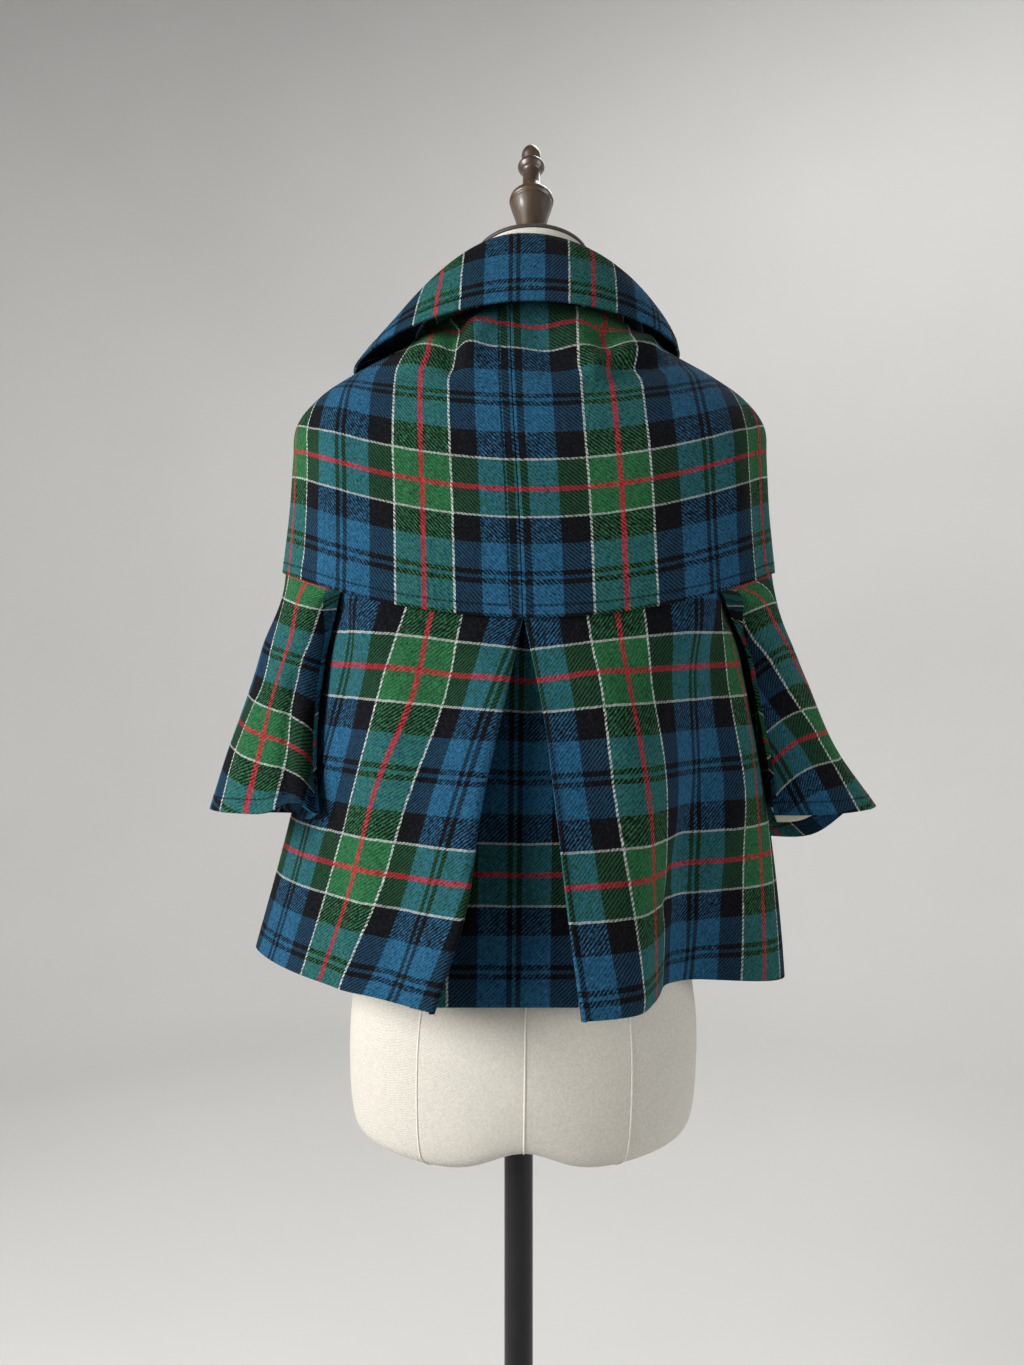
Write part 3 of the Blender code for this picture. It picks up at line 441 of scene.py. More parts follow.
# Distances on the yoke at which places on the cloth lie: down from the pair of dark lines, and
# across from the centre back seam, where the cloth is eased in
YOKE_DOWN_AT, YOKE_DOWN_PLACE = [-0.0698, 0, 0.0756, 0.1442], [-HALF_SETT, 0, HALF_SETT, REPEAT]
YOKE_ACROSS_AT = [0, 0.008, 0.050, 0.150]
YOKE_ACROSS_PLACE = {"left": [0, 0.0054, 0.0493, 0.1478], "right": [0, 0.0054, 0.0466, 0.1398]}

# Where the stripes lie on the two back panels, from the fold out, in even steps from the yoke to
# the hem: the pair of dark lines, then white, red and white
PanelLines = namedtuple("PanelLines", "pair near_white red far_white")
LEFT_LINES = [
    PanelLines(-0.004, 0.0434, 0.0671, 0.0873),
    PanelLines(0.0083, 0.0453, 0.0703, 0.0993),
    PanelLines(0.0166, 0.0596, 0.0881, 0.1141),
    PanelLines(0.0300, 0.0768, 0.1058, 0.1338),
    PanelLines(0.0370, 0.0924, 0.1199, 0.1436),
]
RIGHT_LINES = [
    PanelLines(-0.004, 0.0450, 0.0680, 0.0892),
    PanelLines(-0.006, 0.0410, 0.0645, 0.0860),
    PanelLines(-0.006, 0.0410, 0.0680, 0.1000),
    PanelLines(-0.004, 0.0440, 0.0770, 0.1080),
    PanelLines(-0.002, 0.0480, 0.0860, 0.1200),
]

# Where the stripes lie on the sleeves. Across, from the back edge round the outer side, in even
# steps from the yoke to the hem: white, red and white. Down from the yoke, at the back edge and
# on the outer side: red, white, the pair of dark lines, white, red and white.
SleeveLines = namedtuple("SleeveLines", "near_white red far_white")
SleeveGrain = namedtuple("SleeveGrain", "across edge side turn")
SLEEVE_GRAIN = {
    "left": SleeveGrain(
        across=[
            SleeveLines(-0.0060, 0.0265, 0.0640),
            SleeveLines(0.0105, 0.0285, 0.0530),
            SleeveLines(0.0194, 0.0372, 0.0545),
            SleeveLines(0.0215, 0.0445, 0.0800),
            SleeveLines(0.0333, 0.0595, 0.1000),
        ],
        edge=[0, 0.0201, 0.0692, 0.1234, 0.1479, 0.1729],
        side=[0, 0.0205, 0.0652, 0.1100, 0.1330, 0.1550],
        turn=0.028,
    ),
    "right": SleeveGrain(
        across=[
            SleeveLines(-0.0120, 0.0040, 0.0275),
            SleeveLines(0.0050, 0.0410, 0.0680),
            SleeveLines(0.0260, 0.0600, 0.0880),
            SleeveLines(0.0530, 0.0850, 0.1120),
            SleeveLines(0.0742, 0.1070, 0.1350),
        ],
        edge=[0, 0.0435, 0.1040, 0.1572, 0.1836, 0.2117],
        side=[0, 0.0305, 0.0890, 0.1425, 0.1668, 0.1935],
        turn=0.045,
    ),
}
SLEEVE_PLACES = [HALF_SETT, REPEAT - WHITE, REPEAT, REPEAT + WHITE]
SLEEVE_PLACES += [REPEAT + HALF_SETT, 2 * REPEAT - WHITE]
COLLAR_WARP_STRETCH, COLLAR_MIDDLE = 1.16, -0.0025
COLLAR_WEFT_UP = 0.014  # from the loose edge up to the pair of dark lines

# Soft creases, from end to end in metres across and down a piece, with the width over which each
# one fades and how far it lifts the cloth
Crease = namedtuple("Crease", "start_across start_down end_across end_down width lift")
CREASES = {
    "wool_sleeve_left": [
        Crease(0.0190, 0.085, 0.0225, 0.190, 0.0050, -0.0042),
        Crease(0.0085, 0.110, 0.0100, 0.195, 0.0050, 0.0026),
        Crease(0.0560, 0.120, 0.0700, 0.200, 0.0110, 0.0020),
        Crease(0.1400, 0.060, 0.1550, 0.170, 0.0120, -0.0025),
        Crease(0.2600, 0.090, 0.2700, 0.200, 0.0140, -0.0020),
    ],
    "wool_sleeve_right": [
        Crease(0.0080, 0.075, 0.0420, 0.170, 0.0080, 0.0026),
        Crease(0.0300, 0.060, 0.0480, 0.110, 0.0100, -0.0018),
        Crease(0.1500, 0.050, 0.1700, 0.190, 0.0140, -0.0028),
        Crease(0.2000, 0.110, 0.2250, 0.230, 0.0120, 0.0022),
        Crease(0.2900, 0.080, 0.3100, 0.200, 0.0130, -0.0020),
    ],
    "wool_skirt_back": [
        Crease(0.1900, 0.050, 0.1870, 0.275, 0.0230, -0.0055),
        Crease(0.4900, 0.060, 0.5520, 0.285, 0.0220, 0.0060),
        Crease(0.0850, 0.030, 0.0980, 0.190, 0.0150, -0.0026),
        Crease(0.1420, 0.070, 0.1500, 0.300, 0.0170, 0.0030),
        Crease(0.6150, 0.060, 0.6080, 0.240, 0.0140, -0.0026),
        Crease(0.6580, 0.110, 0.6660, 0.330, 0.0160, 0.0030),
        Crease(0.7100, 0.040, 0.7120, 0.160, 0.0120, -0.0022),
    ],
    "wool_skirt_front_left": [
        Crease(0.0900, 0.050, 0.1000, 0.240, 0.0150, -0.0028),
        Crease(0.1600, 0.120, 0.1560, 0.310, 0.0170, 0.0028),
        Crease(0.2250, 0.030, 0.2310, 0.150, 0.0120, -0.0018),
    ],
    "wool_skirt_front_right": [
        Crease(0.0800, 0.090, 0.0920, 0.300, 0.0150, 0.0028),
        Crease(0.1450, 0.040, 0.1520, 0.210, 0.0140, -0.0026),
        Crease(0.2120, 0.150, 0.2080, 0.320, 0.0150, 0.0020),
    ],
    "wool_yoke_front_left": [
        Crease(0.0700, 0.030, 0.1050, 0.110, 0.0110, -0.0026),
        Crease(0.1250, 0.020, 0.1500, 0.080, 0.0120, 0.0028),
        Crease(0.0400, 0.120, 0.0600, 0.220, 0.0150, -0.0020),
    ],
    "wool_yoke_front_right": [
        Crease(0.0600, 0.040, 0.0880, 0.130, 0.0130, 0.0028),
        Crease(0.1150, 0.030, 0.1500, 0.090, 0.0100, -0.0024),
        Crease(0.0350, 0.140, 0.0420, 0.210, 0.0140, 0.0018),
    ],
    "wool_yoke_back_left": [
        Crease(0.1450, 0.090, 0.1650, 0.200, 0.0150, 0.0016),
        Crease(0.1950, 0.120, 0.2050, 0.230, 0.0140, -0.0022),
    ],
    "wool_yoke_back_right": [
        Crease(0.1750, 0.080, 0.1900, 0.190, 0.0160, 0.0018),
        Crease(0.2200, 0.130, 0.2250, 0.235, 0.0130, -0.0022),
    ],
}

# Turn of the left sleeve's hem by its back edge: how far from the edge, its rise on the outer and
# the inner side, and how far up it fades
HemTurn = namedtuple("HemTurn", "at outer_rise inner_rise depth")
HEM_TURN = HemTurn(0.020, 0.009, -0.006, 0.060)

# Cuts of the cloth before it was sewn: width, length and flat area, how each is held and on what
Sheet = namedtuple("Sheet", "width length area held rests_on")

# Topstitching
STITCH_IN = 0.009  # from an edge to its row of stitches
STITCH_STEP, STITCH_LENGTH, STITCH_RADIUS = 0.0042, 0.0031, 0.00042
SLEEVE_STITCH_IN = 0.0115
STITCH_BALL = {"u_segments": 6, "v_segments": 4, "radius": 1}  # drawn out into one stitch

# Camera and light
LENS, SENSOR, CLIP_START = 27.03, 36, 0.02
CAMERA_PLACE = (-0.0058, -0.90, 1.10)
MIDDLE = (0, 0, 1.1)
Light = namedtuple("Light", "name place target size watts colour")
LIGHTS = [
    Light("window_left", (-1.8, -1.05, 1.75), MIDDLE, 1.3, 102, (1.0, 0.99, 0.97)),
    Light("fill_right", (2.2, -0.95, 1.15), (0, 0, 0.9), 1.6, 32, (0.98, 0.985, 0.985)),
    Light("front_soft", (0.8, 1.8, 3.3), MIDDLE, 1.6, 30, (1.0, 0.995, 0.98)),
    Light("backdrop_wash", (0.9, 1.2, 3.6), (0.9, 2.6, 1.6), 1.2, 45, (1.0, 0.995, 0.98)),
]
WORLD_COLOUR, WORLD_STRENGTH = (0.53, 0.525, 0.515, 1), 0.19
FLOOR_RADIUS, SWEEP, BACKDROP_TOP = 2.3, 1.2, 4.2
FLOOR_STEPS, SWEEP_STEPS = 96, 16


def through(values, share):
    """The smooth curve through evenly spaced values, at a share from 0 to 1 of its length."""
    values = np.asarray(values, float)
    padded = np.concatenate([[2 * values[0] - values[1]], values, [2 * values[-1] - values[-2]]])
    place = np.clip(share, 0, 1) * (len(values) - 1)
    index = np.minimum(place.astype(int), len(values) - 2)
    part = place - index
    before, first, second, after = (padded[index + step] for step in range(4))
    straight = second - before
    bend = 2 * before - 5 * first + 4 * second - after
    twist = 3 * (first - second) + after - before
    return first + 0.5 * part * (straight + part * (bend + part * twist))


def table(rows, share):
    """The columns of a table of sections, each taken along its smooth curve."""
    columns = ([getattr(row, name) for row in rows] for name in rows[0]._fields)
    return type(rows[0])(*(through(column, share) for column in columns))


def ease(value):
    value = np.clip(value, 0, 1)
    return value * value * (3 - 2 * value)


def ring_points(rows, angle, share):
    """Points of a stack of rings at angles from centre back, in degrees, to +X."""
    angle, share = np.broadcast_arrays(np.asarray(angle, float), np.asarray(share, float))
    ring = table(rows, share)
    sine, cosine = np.sin(np.radians(angle)), np.cos(np.radians(angle))
    at_back = cosine > 0
    power = 2 / np.where(at_back, ring.square_back, ring.square_front)
    x = ring.half_width * np.sign(sine) * np.abs(sine) ** power
    y = -np.where(at_back, ring.back, ring.front) * np.sign(cosine) * np.abs(cosine) ** power
    end_z = np.where(at_back, ring.back_z, ring.front_z)
    z = ring.side_z + (end_z - ring.side_z) * cosine**2
    return np.stack([x, y, z], axis=-1)


def normals_of(surface, angle, share):
    """Outward directions of a surface given as a function of angle and share."""
    step_angle, step_share = 0.2, 0.002
    low = np.clip(share - step_share, 0, 1)
    high = np.clip(share + step_share, 0, 1)
    across = surface(angle + step_angle, share) - surface(angle - step_angle, share)
    down = surface(angle, high) - surface(angle, low)
    normal = np.cross(down, across)
    return normal / np.linalg.norm(normal, axis=-1, keepdims=True)


def yoke_plain(angle, share):
    return ring_points(YOKE_RINGS, angle, share)


def lift_of(folds, first, second):
    """How far soft folds lift the points at two coordinates; each fades away from its own line."""
    lift = np.zeros_like(first)
    for from_first, from_second, to_first, to_second, width, height in folds:
        run_first, run_second = to_first - from_first, to_second - from_second
        along = (first - from_first) * run_first + (second - from_second) * run_second
        along = np.clip(along / (run_first**2 + run_second**2), 0, 1)
        off = (first - from_first - along * run_first) ** 2
        off += (second - from_second - along * run_second) ** 2
        lift += height * np.exp(-off / width**2)
    return lift


def fold_lift(points):
    """How far the folds under the collar lift the yoke's back."""
    lift = lift_of(YOKE_FOLDS, points[..., 0], points[..., 2])
    return np.where(points[..., 1] < 0, lift, 0)


def yoke(angle, share):
    angle, share = np.broadcast_arrays(np.asarray(angle, float), np.asarray(share, float))
    points = yoke_plain(angle, share)
    lift = fold_lift(points) * ease(share / FOLDS_START)
    return points + lift[..., None] * normals_of(yoke_plain, angle, share)


def yoke_back_row(sign, share, across):
    """One row of a back yoke, from the centre back seam to the side."""
    reached = yoke_plain(BACK_ANGLES, share)[:, 0]
    seam = np.interp(through(SEAM_SHIFT, share), reached, BACK_ANGLES)
    angles = seam + (sign * 90 - seam) * np.linspace(0, 1, across + 1)
    points = yoke(angles, share)
    points[0, 0] += sign * SEAM_GAP
    points[-1, 1] -= SIDE_GAP
    return points


def under_yoke(angle, depth):
    """The surface one layer behind the yoke, at a depth above its lower edge."""
    last_part = 0.1
    edge = yoke_plain(angle, 1)
    above = yoke_plain(angle, 1 - last_part)
    length = np.linalg.norm(above - edge, axis=-1) / last_part
    share = 1 - depth / length
    return yoke_plain(angle, share) - LAYER_STEP * normals_of(yoke_plain, angle, share)


def armhole(angle):
    """How far the skirt's top passes in under the arm."""
    from_back = np.abs(angle)
    from_end = np.minimum(from_back, 180 - from_back)
    return ARMHOLE_DEPTH * ease((from_end - ARMHOLE_START) / (ARMHOLE_END - ARMHOLE_START))


def skirt(angle, share):
    """The skirt's surface without its pleat."""
    angle, share = np.broadcast_arrays(np.asarray(angle, float), np.asarray(share, float))
    hung = ring_points(SKIRT_RINGS, angle, share)
    out = np.stack([np.sin(np.radians(angle)), -np.cos(np.radians(angle)), 0 * angle], axis=-1)
    wrapped = (angle + 180) % 360 - 180
    reach = np.zeros_like(hung[..., 0])
    for flute in FLUTES:
        depth = flute.hem * share**FLUTE_POWER + flute.half_way * 4 * share * (1 - share)
        reach += depth * np.exp(-(((wrapped - flute.angle) / flute.spread) ** 2))
    hung = hung + out * reach[..., None]
    top = under_yoke(angle, 0)
    top[..., 0] -= np.sign(top[..., 0]) * armhole(angle)
    keep = ease(share / SKIRT_BLEND)
    points = top + (hung - top) * keep[..., None]
    sideways = points[..., 0] / SKIRT_RINGS[-1].half_width
    points[..., 2] = hung[..., 2] - HEM_TILT * share * sideways**3
    return points


def lap_row(angle, share):
    """The skirt's top edge behind the yoke, and a little way down from it."""
    points = under_yoke(angle, LAP * (1 - share))
    points[..., 0] -= np.sign(points[..., 0]) * armhole((angle + 180) % 360 - 180)
    return points


def lean(points):
    points = np.array(points, float)
    points[..., 0] += LEAN * (points[..., 2] - LEAN_START)
    return points


def left_of(direction):
    return np.array([-direction[1], direction[0]])


def arc(centre, start, end, side, steps):
    """An arc in plan from one heading to another, round a centre on the given side."""
    headings = np.linspace(start, end, steps + 1)
    directions = np.stack([np.cos(headings), np.sin(headings)], axis=-1)
    offsets = np.stack([-directions[:, 1], directions[:, 0]], axis=-1)
    return centre - side * FOLD_RADIUS * offsets


def pleat_side(tip, heading, inner_x, underlay_y, steps):
    """Plan path from a panel's outer fold round to the underlay, for a panel heading to +X."""
    first_centre = tip + FOLD_RADIUS * left_of([np.cos(heading), np.sin(heading)])
    second_centre = np.array([inner_x, underlay_y - FOLD_RADIUS])
    run = second_centre - first_centre
    angle = np.arctan2(run[1], run[0]) % (2 * np.pi)
    turned = angle + np.arcsin(2 * FOLD_RADIUS / np.hypot(*run))
    outer = arc(first_centre, heading, turned, 1, steps)
    inner = arc(second_centre, turned, 0, -1, steps)
    back = outer[-1] + (inner[0] - outer[-1]) * np.linspace(0, 1, steps + 1)[1:-1, None]
    return np.concatenate([outer, back, inner])


def back_skirt_row(surface, share, across, pleat_steps):
    """One row of the back skirt: left panel, pleat and right panel."""
    pleat = table(PLEAT, share)
    curve = surface(BACK_ANGLES, share)
    follow = (1 - share) ** 2
    halves, tip_y = [], []
    left = (-1, pleat.left_fold, pleat.left_inner)
    right = (1, pleat.right_fold, pleat.right_inner)
    for sign, fold_x, inner_x in (left, right):
        end = np.interp(fold_x, curve[:, 0], BACK_ANGLES)
        angles = sign * 90 + (end - sign * 90) * np.linspace(0, 1, across + 1)
        panel = surface(angles, share)
        panel[0, 1] -= SIDE_GAP
        near = panel[-1] - panel[-2]
        heading = np.arctan2(near[1], -sign * near[0])
        mirrored = np.array([-sign * panel[-1, 0], panel[-1, 1]])
        half = pleat_side(mirrored, heading, -sign * inner_x, UNDERLAY_Y, pleat_steps)
        half[:, 0] *= -sign
        tip_y.append(panel[-1, 1])
        halves.append((panel, half))
    (left, left_pleat), (right, right_pleat) = halves
    level = (left[-1, 2] + right[-1, 2]) / 2
    spread = np.linspace(0, 1, 2 * pleat_steps + 1)[1:-1, None]
    underlay = left_pleat[-1] + (right_pleat[-1] - left_pleat[-1]) * spread
    plan = np.concatenate([left_pleat[1:], underlay, right_pleat[::-1][:-1]])
    deep = np.clip((plan[:, 1] - np.mean(tip_y)) / (UNDERLAY_Y - np.mean(tip_y)), 0, 1)
    plan[:, 1] += follow * (np.interp(plan[:, 0], curve[:, 0], curve[:, 1]) - np.mean(tip_y))
    folded = np.column_stack([plan, level - UNDERLAY_DROP * share * deep])
    return np.concatenate([left, folded, right[::-1]])


def front_row(surface, share, sign, across):
    """One row of a front, from the side to past the centre front; the one at -X lies under."""
    reached = surface(FRONT_ANGLES, share)[:, 0]
    edge = np.interp(OVERLAP, -reached, FRONT_ANGLES)
    angles = sign * np.linspace(90, edge, across + 1)
    points = surface(angles, share)
    points[0, 1] += SIDE_GAP
    sunk = np.zeros_like(angles)
    if sign < 0:
        sunk += ease((points[:, 0] + TUCK_START) / (TUCK_START - TUCK_DONE))
    if surface is not yoke:
        under_both = ease((TUCK_START - np.abs(points[:, 0])) / (TUCK_START - TUCK_DONE))
        sunk += under_both * (1 - ease(share / TUCK_END))
    return points - (sunk * LAYER_STEP)[:, None] * normals_of(surface, angles, share)


def sleeve_points(rows, hem, sign, around, share, lapped):
    """One ring of a sleeve: its outer side from back to front, then its side next to the body."""
    row = table(rows, share)
    place = (1 - np.cos(np.linspace(0, pi, around + 1))) / 2
    angle = row.back_angle + (row.front_angle - row.back_angle) * place
    top = under_yoke(angle, LAP if lapped else 0)
    z = top[:, 2] + (through(hem, place) - top[:, 2]) * share
    high, low = (skirt(sign * angle, end)[:, 2] for end in (0, 1))
    body = skirt(sign * angle, np.clip((high - z) / (high - low), 0, 1))
    out = np.stack([sign * np.sin(np.radians(angle)), -np.cos(np.radians(angle))], axis=-1)
    near = body[:, :2] + out * (SLEEVE_CLEAR + row.off)
    rise = np.clip(np.sin(np.pi * place), 0, 1) ** SLEEVE_FULLNESS
    far = near + out * (LAYER_STEP + row.reach * rise)[:, None]
    hung = 1 - np.clip(1 - share / SLEEVE_BLEND, 0, 1) ** SLEEVE_SPRING
    top_plan = top[:, :2] * [sign, 1]
    far = top_plan + (far - top_plan) * hung
    outer = np.column_stack([far, z])
    inner = np.column_stack([near, z])
    return outer, inner


def collar_rows():
    rows = []
    for share in np.linspace(0, 1, COLLAR_DOWN + 1):
        reached = ring_points(COLLAR_RINGS, COLLAR_ANGLES, share)
        end = np.interp(-COLLAR_END, -reached[:, 0], COLLAR_ANGLES)
        angles = np.linspace(-end, end, COLLAR_AROUND + 1)
        points = ring_points(COLLAR_RINGS, angles, share)
        drawn = ease(share / COLLAR_DRAWN)
        sink = ease(-points[:, 0] / LEFT_REACH) * ease(1 - points[:, 1] / LEFT_FADE)
        sink *= LEFT_DROP * through(LEFT_SINK, share)
        points[:, 2] += COLLAR_ROLL * points[:, 0] * drawn - sink
        points[:, 0] += COLLAR_SHIFT * drawn
        rows.append(points)
    return lean(rows)


def form_ring(share, angles):
    """One ring of the dress form, with the slanted neck and the notch between the lobes."""
    row = table(FORM_RINGS, share)
    sine, cosine = np.sin(angles), np.cos(angles)
    drawn = FORM_EASE * ease((row.z - FORM_EASE_START) / (FORM_EASE_DONE - FORM_EASE_START))
    x = (row.half_width - drawn) * sine
    y = (drawn - np.where(cosine > 0, row.back, row.front)) * cosine
    top = FORM_RINGS[-1].z
    slant = ease((row.z - SLANT_START) / (top - SLANT_START)) * tan(radians(NECK_SLANT))
    low = ease((NOTCH_TOP - row.z) / (NOTCH_TOP - FORM_RINGS[0].z))
    notch = low * NOTCH_RISE * np.exp(-((x / NOTCH_WIDTH) ** 2))
    return lean(np.stack([x, y, row.z - slant * y + notch], axis=-1))


def lengths(points, axis):
    """How far each point of a grid is from the grid's first one, along its rows or columns."""
    steps = np.linalg.norm(np.diff(points, axis=axis), axis=-1)
    start = np.zeros_like(np.take(steps, [0], axis=axis))
    return np.concatenate([start, np.cumsum(steps, axis=axis)], axis=axis)


def grid_normals(points):
    down, across = np.gradient(points, axis=0), np.gradient(points, axis=1)
    normal = np.cross(down, across)
    return normal / np.linalg.norm(normal, axis=-1, keepdims=True)


class Paint:
    """A socket of a material. Operators add Math nodes, and node() adds any other node."""

    def __init__(self, tree, socket=None):
        self.tree = tree
        self.socket = socket

    def node(self, kind, settings, sockets, out=0):
        made = self.tree.nodes.new(kind)
        for name, value in settings.items():
            if name == "stops":
                self.set_stops(made.color_ramp, value)
            else:
                setattr(made, name, value)
        for key, value in sockets.items():
            if isinstance(value, Paint):
                self.tree.links.new(value.socket, made.inputs[key])
            else:
                made.inputs[key].default_value = value
        return Paint(self.tree, made.outputs[out])

    @staticmethod
    def set_stops(ramp, stops):
        """Gives a ramp sharp steps of colour."""
        ramp.interpolation = "CONSTANT"
        while len(ramp.elements) < len(stops):
            ramp.elements.new(1)
        for element, (place, colour) in zip(ramp.elements, stops):
            element.position = place
            element.color = colour

    def math(self, operation, *values):
        return self.node("ShaderNodeMath", {"operation": operation}, dict(enumerate(values)))

    def __add__(self, other):
        return self.math("ADD", self, other)

    __radd__ = __add__

    def __sub__(self, other):
        return self.math("SUBTRACT", self, other)

    def __rsub__(self, other):
        return self.math("SUBTRACT", other, self)

    def __mul__(self, other):
        return self.math("MULTIPLY", self, other)

    __rmul__ = __mul__

    def __truediv__(self, other):
        return self.math("DIVIDE", self, other)

    def __mod__(self, other):
        return self.math("FLOORED_MODULO", self, other)

    def __abs__(self):
        return self.math("ABSOLUTE", self)

    def sine(self):
        return self.math("SINE", self)

    def clamped(self):
        return self.node("ShaderNodeClamp", {}, {0: self})

    def within(self, inner, outer):
        """1 up to the inner distance, and falling smoothly to 0 at the outer one."""
        settings = {"interpolation_type": "SMOOTHSTEP"}
        return self.node("ShaderNodeMapRange", settings, {0: self, 1: inner, 2: outer, 3: 1, 4: 0})

    def mix(self, first, second):
        """The first colour where this is 0, and the second where it is 1."""
        settings = {"data_type": "RGBA"}
        return self.node("ShaderNodeMix", settings, {0: self, 6: first, 7: second}, out=2)

    def dimmed(self, value):
        """This colour times a value."""
        return self.node("ShaderNodeVectorMath", {"operation": "SCALE"}, {0: self, 3: value})

    def place(self):
        """Object coordinates."""
        return self.node("ShaderNodeTexCoord", {}, {}, out="Object")

    def uv(self, name):
        return self.node("ShaderNodeUVMap", {"uv_map": name}, {})

    def parts(self):
        """The three coordinates of a vector."""
        split = self.node("ShaderNodeSeparateXYZ", {}, {0: self}).socket.node
        return [Paint(self.tree, output) for output in split.outputs]

    def noise(self, cells, detail, rough=0.5):
        sockets = {"Vector": self, "Scale": cells, "Detail": detail, "Roughness": rough}
        return self.node("ShaderNodeTexNoise", {}, sockets)

    def bump(self, distance, strength):
        sockets = {"Strength": strength, "Distance": distance, "Height": self}
        return self.node("ShaderNodeBump", {}, sockets)


def weighed(waves, weights):
    """The sum of named waves, each times its weight."""
    first, *others = (waves[name] * weight for name, weight in weights.items())
    return sum(others, first)


def new_material(name, constants):
    """A material with its unvarying sockets set, and a start for its other nodes."""
    material = bpy.data.materials.new(name)
    material.use_nodes = True
    shader = material.node_tree.nodes["Principled BSDF"]
    for socket, value in constants.items():
        shader.inputs[socket].default_value = value
    return material, Paint(material.node_tree)


def feed(material, **varying):
    """Links what varies over a surface to the sockets of its material's shader."""
    tree = material.node_tree
    shader = tree.nodes["Principled BSDF"]
    for socket, paint in varying.items():
        tree.links.new(paint.socket, shader.inputs[socket.replace("_", " ")])
    return material


def tartan(name, diagonal):
    """Napped wool twill in the sett; the diagonals rise to the right for 1, and to the left for -1."""
    material, start = new_material(name, WOOL_FINISH)
    across, down = start.uv("grain").parts()[:2]
    from_edge = start.uv("edges").parts()[0]
    place = start.place()
    waves = {wave: place.noise(*cells) - 0.5 for wave, cells in WOOL_NOISE.items()}
    wander = waves["wander"] * WOOL_WANDER
    stops, reached = [], 0
    for stripe in SETT:
        stops.append((reached / HALF_SETT, YARNS[stripe.colour]))
        reached += stripe.width
    yarns, leads = [], []
    for along in (across + wander, down + wander):
        share = abs((along / REPEAT) % 1.0 - 0.5) * 2
        yarn = start.node("ShaderNodeValToRGB", {"stops": stops}, {0: share})
        yarns.append(yarn)
        leads.append(Paint(yarn.tree, yarn.socket.node.outputs["Alpha"]))
    slant = across + down * diagonal
    along = (across - down * diagonal) * FLECK_STRETCH
    flecks = start.node("ShaderNodeCombineXYZ", {}, {0: slant, 1: along})
    waves["fleck"] = flecks.noise(*FLECK_NOISE) - 0.5
    waves["rib"] = ((slant + waves["tuft"] * RIB_WANDER) * (2 * pi / TWILL)).sine()
    waves["groove"] = abs(from_edge - STITCH_IN).within(*GROOVE)
    over = (weighed(waves, WOOL_OVER) + 0.5 + leads[0] - leads[1]).clamped()
    # the wool's uneven tone, with painted shade in the grooves between the twill's diagonals
    shade = ((weighed(waves, WOOL_SHADE) + WOOL_SHADE_MEAN) / 2).clamped() * 2
    # painted shade: the colour is darkened in the dip along the stitches
    colour = over.mix(yarns[1], yarns[0]).dimmed(shade * (1 - waves["groove"] * GROOVE_PAINTED_SHADE))
    fuzz = ((waves["tuft"] + waves["fibre"]) * FUZZ_GAIN).clamped() * FUZZ_MOST
    colour = fuzz.mix(colour, FUZZ_COLOUR)
    rough = WOOL_ROUGH + waves["fibre"] * WOOL_ROUGH_SPREAD
    normal = weighed(waves, WOOL_RELIEF).bump(*WOOL_BUMP)
    return feed(material, Base_Color=colour, Roughness=rough, Normal=normal)


def plain_weave(name, weave):
    """A fine plain weave in two close colours."""
    material, start = new_material(name, WEAVE_FINISH)
    place = start.place()
    x, y, z = place.parts()
    waves = {wave: place.noise(*cells) for wave, cells in WEAVE_NOISE.items()}
    turn, bend = 2 * pi / weave.thread, waves["slub"] * WEAVE_BEND
    threads = ((x + y) * turn + bend).sine() * (z * turn + bend).sine()
    waves["over"] = (threads * 0.5 + 0.5).clamped()
    colour = waves["over"].mix(weave.warp, weave.weft)
    colour = colour.dimmed(weighed(waves, WEAVE_SHADE) + WEAVE_SHADE_LEAST)
    rough = weave.rough + waves["slub"] * WEAVE_ROUGH_SPREAD
    normal = weighed(waves, WEAVE_RELIEF).bump(*WEAVE_BUMP)
    return feed(material, Base_Color=colour, Roughness=rough, Normal=normal)


def turned_wood(name):
    """Dark wood under a clear coat."""
    material, start = new_material(name, WOOD_FINISH)
    place = start.place()
    drawn = start.node("ShaderNodeMapping", {}, {"Vector": place, "Scale": WOOD_DRAWN})
    waves = {wave: drawn.noise(*cells) for wave, cells in WOOD_NOISE.items()}
    waves["pore"] = place.noise(*PORE_NOISE)
    shade = (weighed(waves, WOOD_SHADE) + WOOD_SHADE_LEAST).clamped()
    rough = WOOD_ROUGH + waves["grain"] * WOOD_ROUGH_SPREAD
    normal = weighed(waves, WOOD_RELIEF).bump(*WOOD_BUMP)
    return feed(material, Base_Color=shade.mix(WOOD_DARK, WOOD_PALE), Roughness=rough, Normal=normal)


def dark_finish(name, dark):
    material, start = new_material(name, DARK_FINISH)
    place = start.place()
    bloom = place.noise(dark.cells, *BLOOM_DETAIL)
    speck = place.noise(dark.cells * SPECK_FINER, SPECK_DETAIL)
    colour = bloom.mix(dark.low, dark.high)
    rough = dark.rough + bloom * DARK_ROUGH_SPREAD
    normal = (speck + bloom * BLOOM_RELIEF).bump(*DARK_BUMP)
    return feed(material, Base_Color=colour, Roughness=rough, Normal=normal)


def horn(name):
    """Polished horn with four sewing holes, drawn on the button's own face as painted shade and a dip
    in the relief.
    """
    material, start = new_material(name, HORN_FINISH)
    x, y = (abs(part) - HOLE_AT for part in start.uv("face").parts()[:2])
    waves = {"streak": start.place().noise(*HORN_NOISE), "hole": (x * x + y * y).within(*HOLE_SQUARED)}
    # painted shade: the colour darkens where the holes are
    colour = waves["streak"].mix(HORN_DARK, HORN_PALE).dimmed(1 - waves["hole"] * HOLE_PAINTED_SHADE)
    rough = HORN_ROUGH + waves["streak"] * HORN_ROUGH_SPREAD
    normal = weighed(waves, HORN_RELIEF).bump(*HORN_BUMP)
    return feed(material, Base_Color=colour, Roughness=rough, Normal=normal)


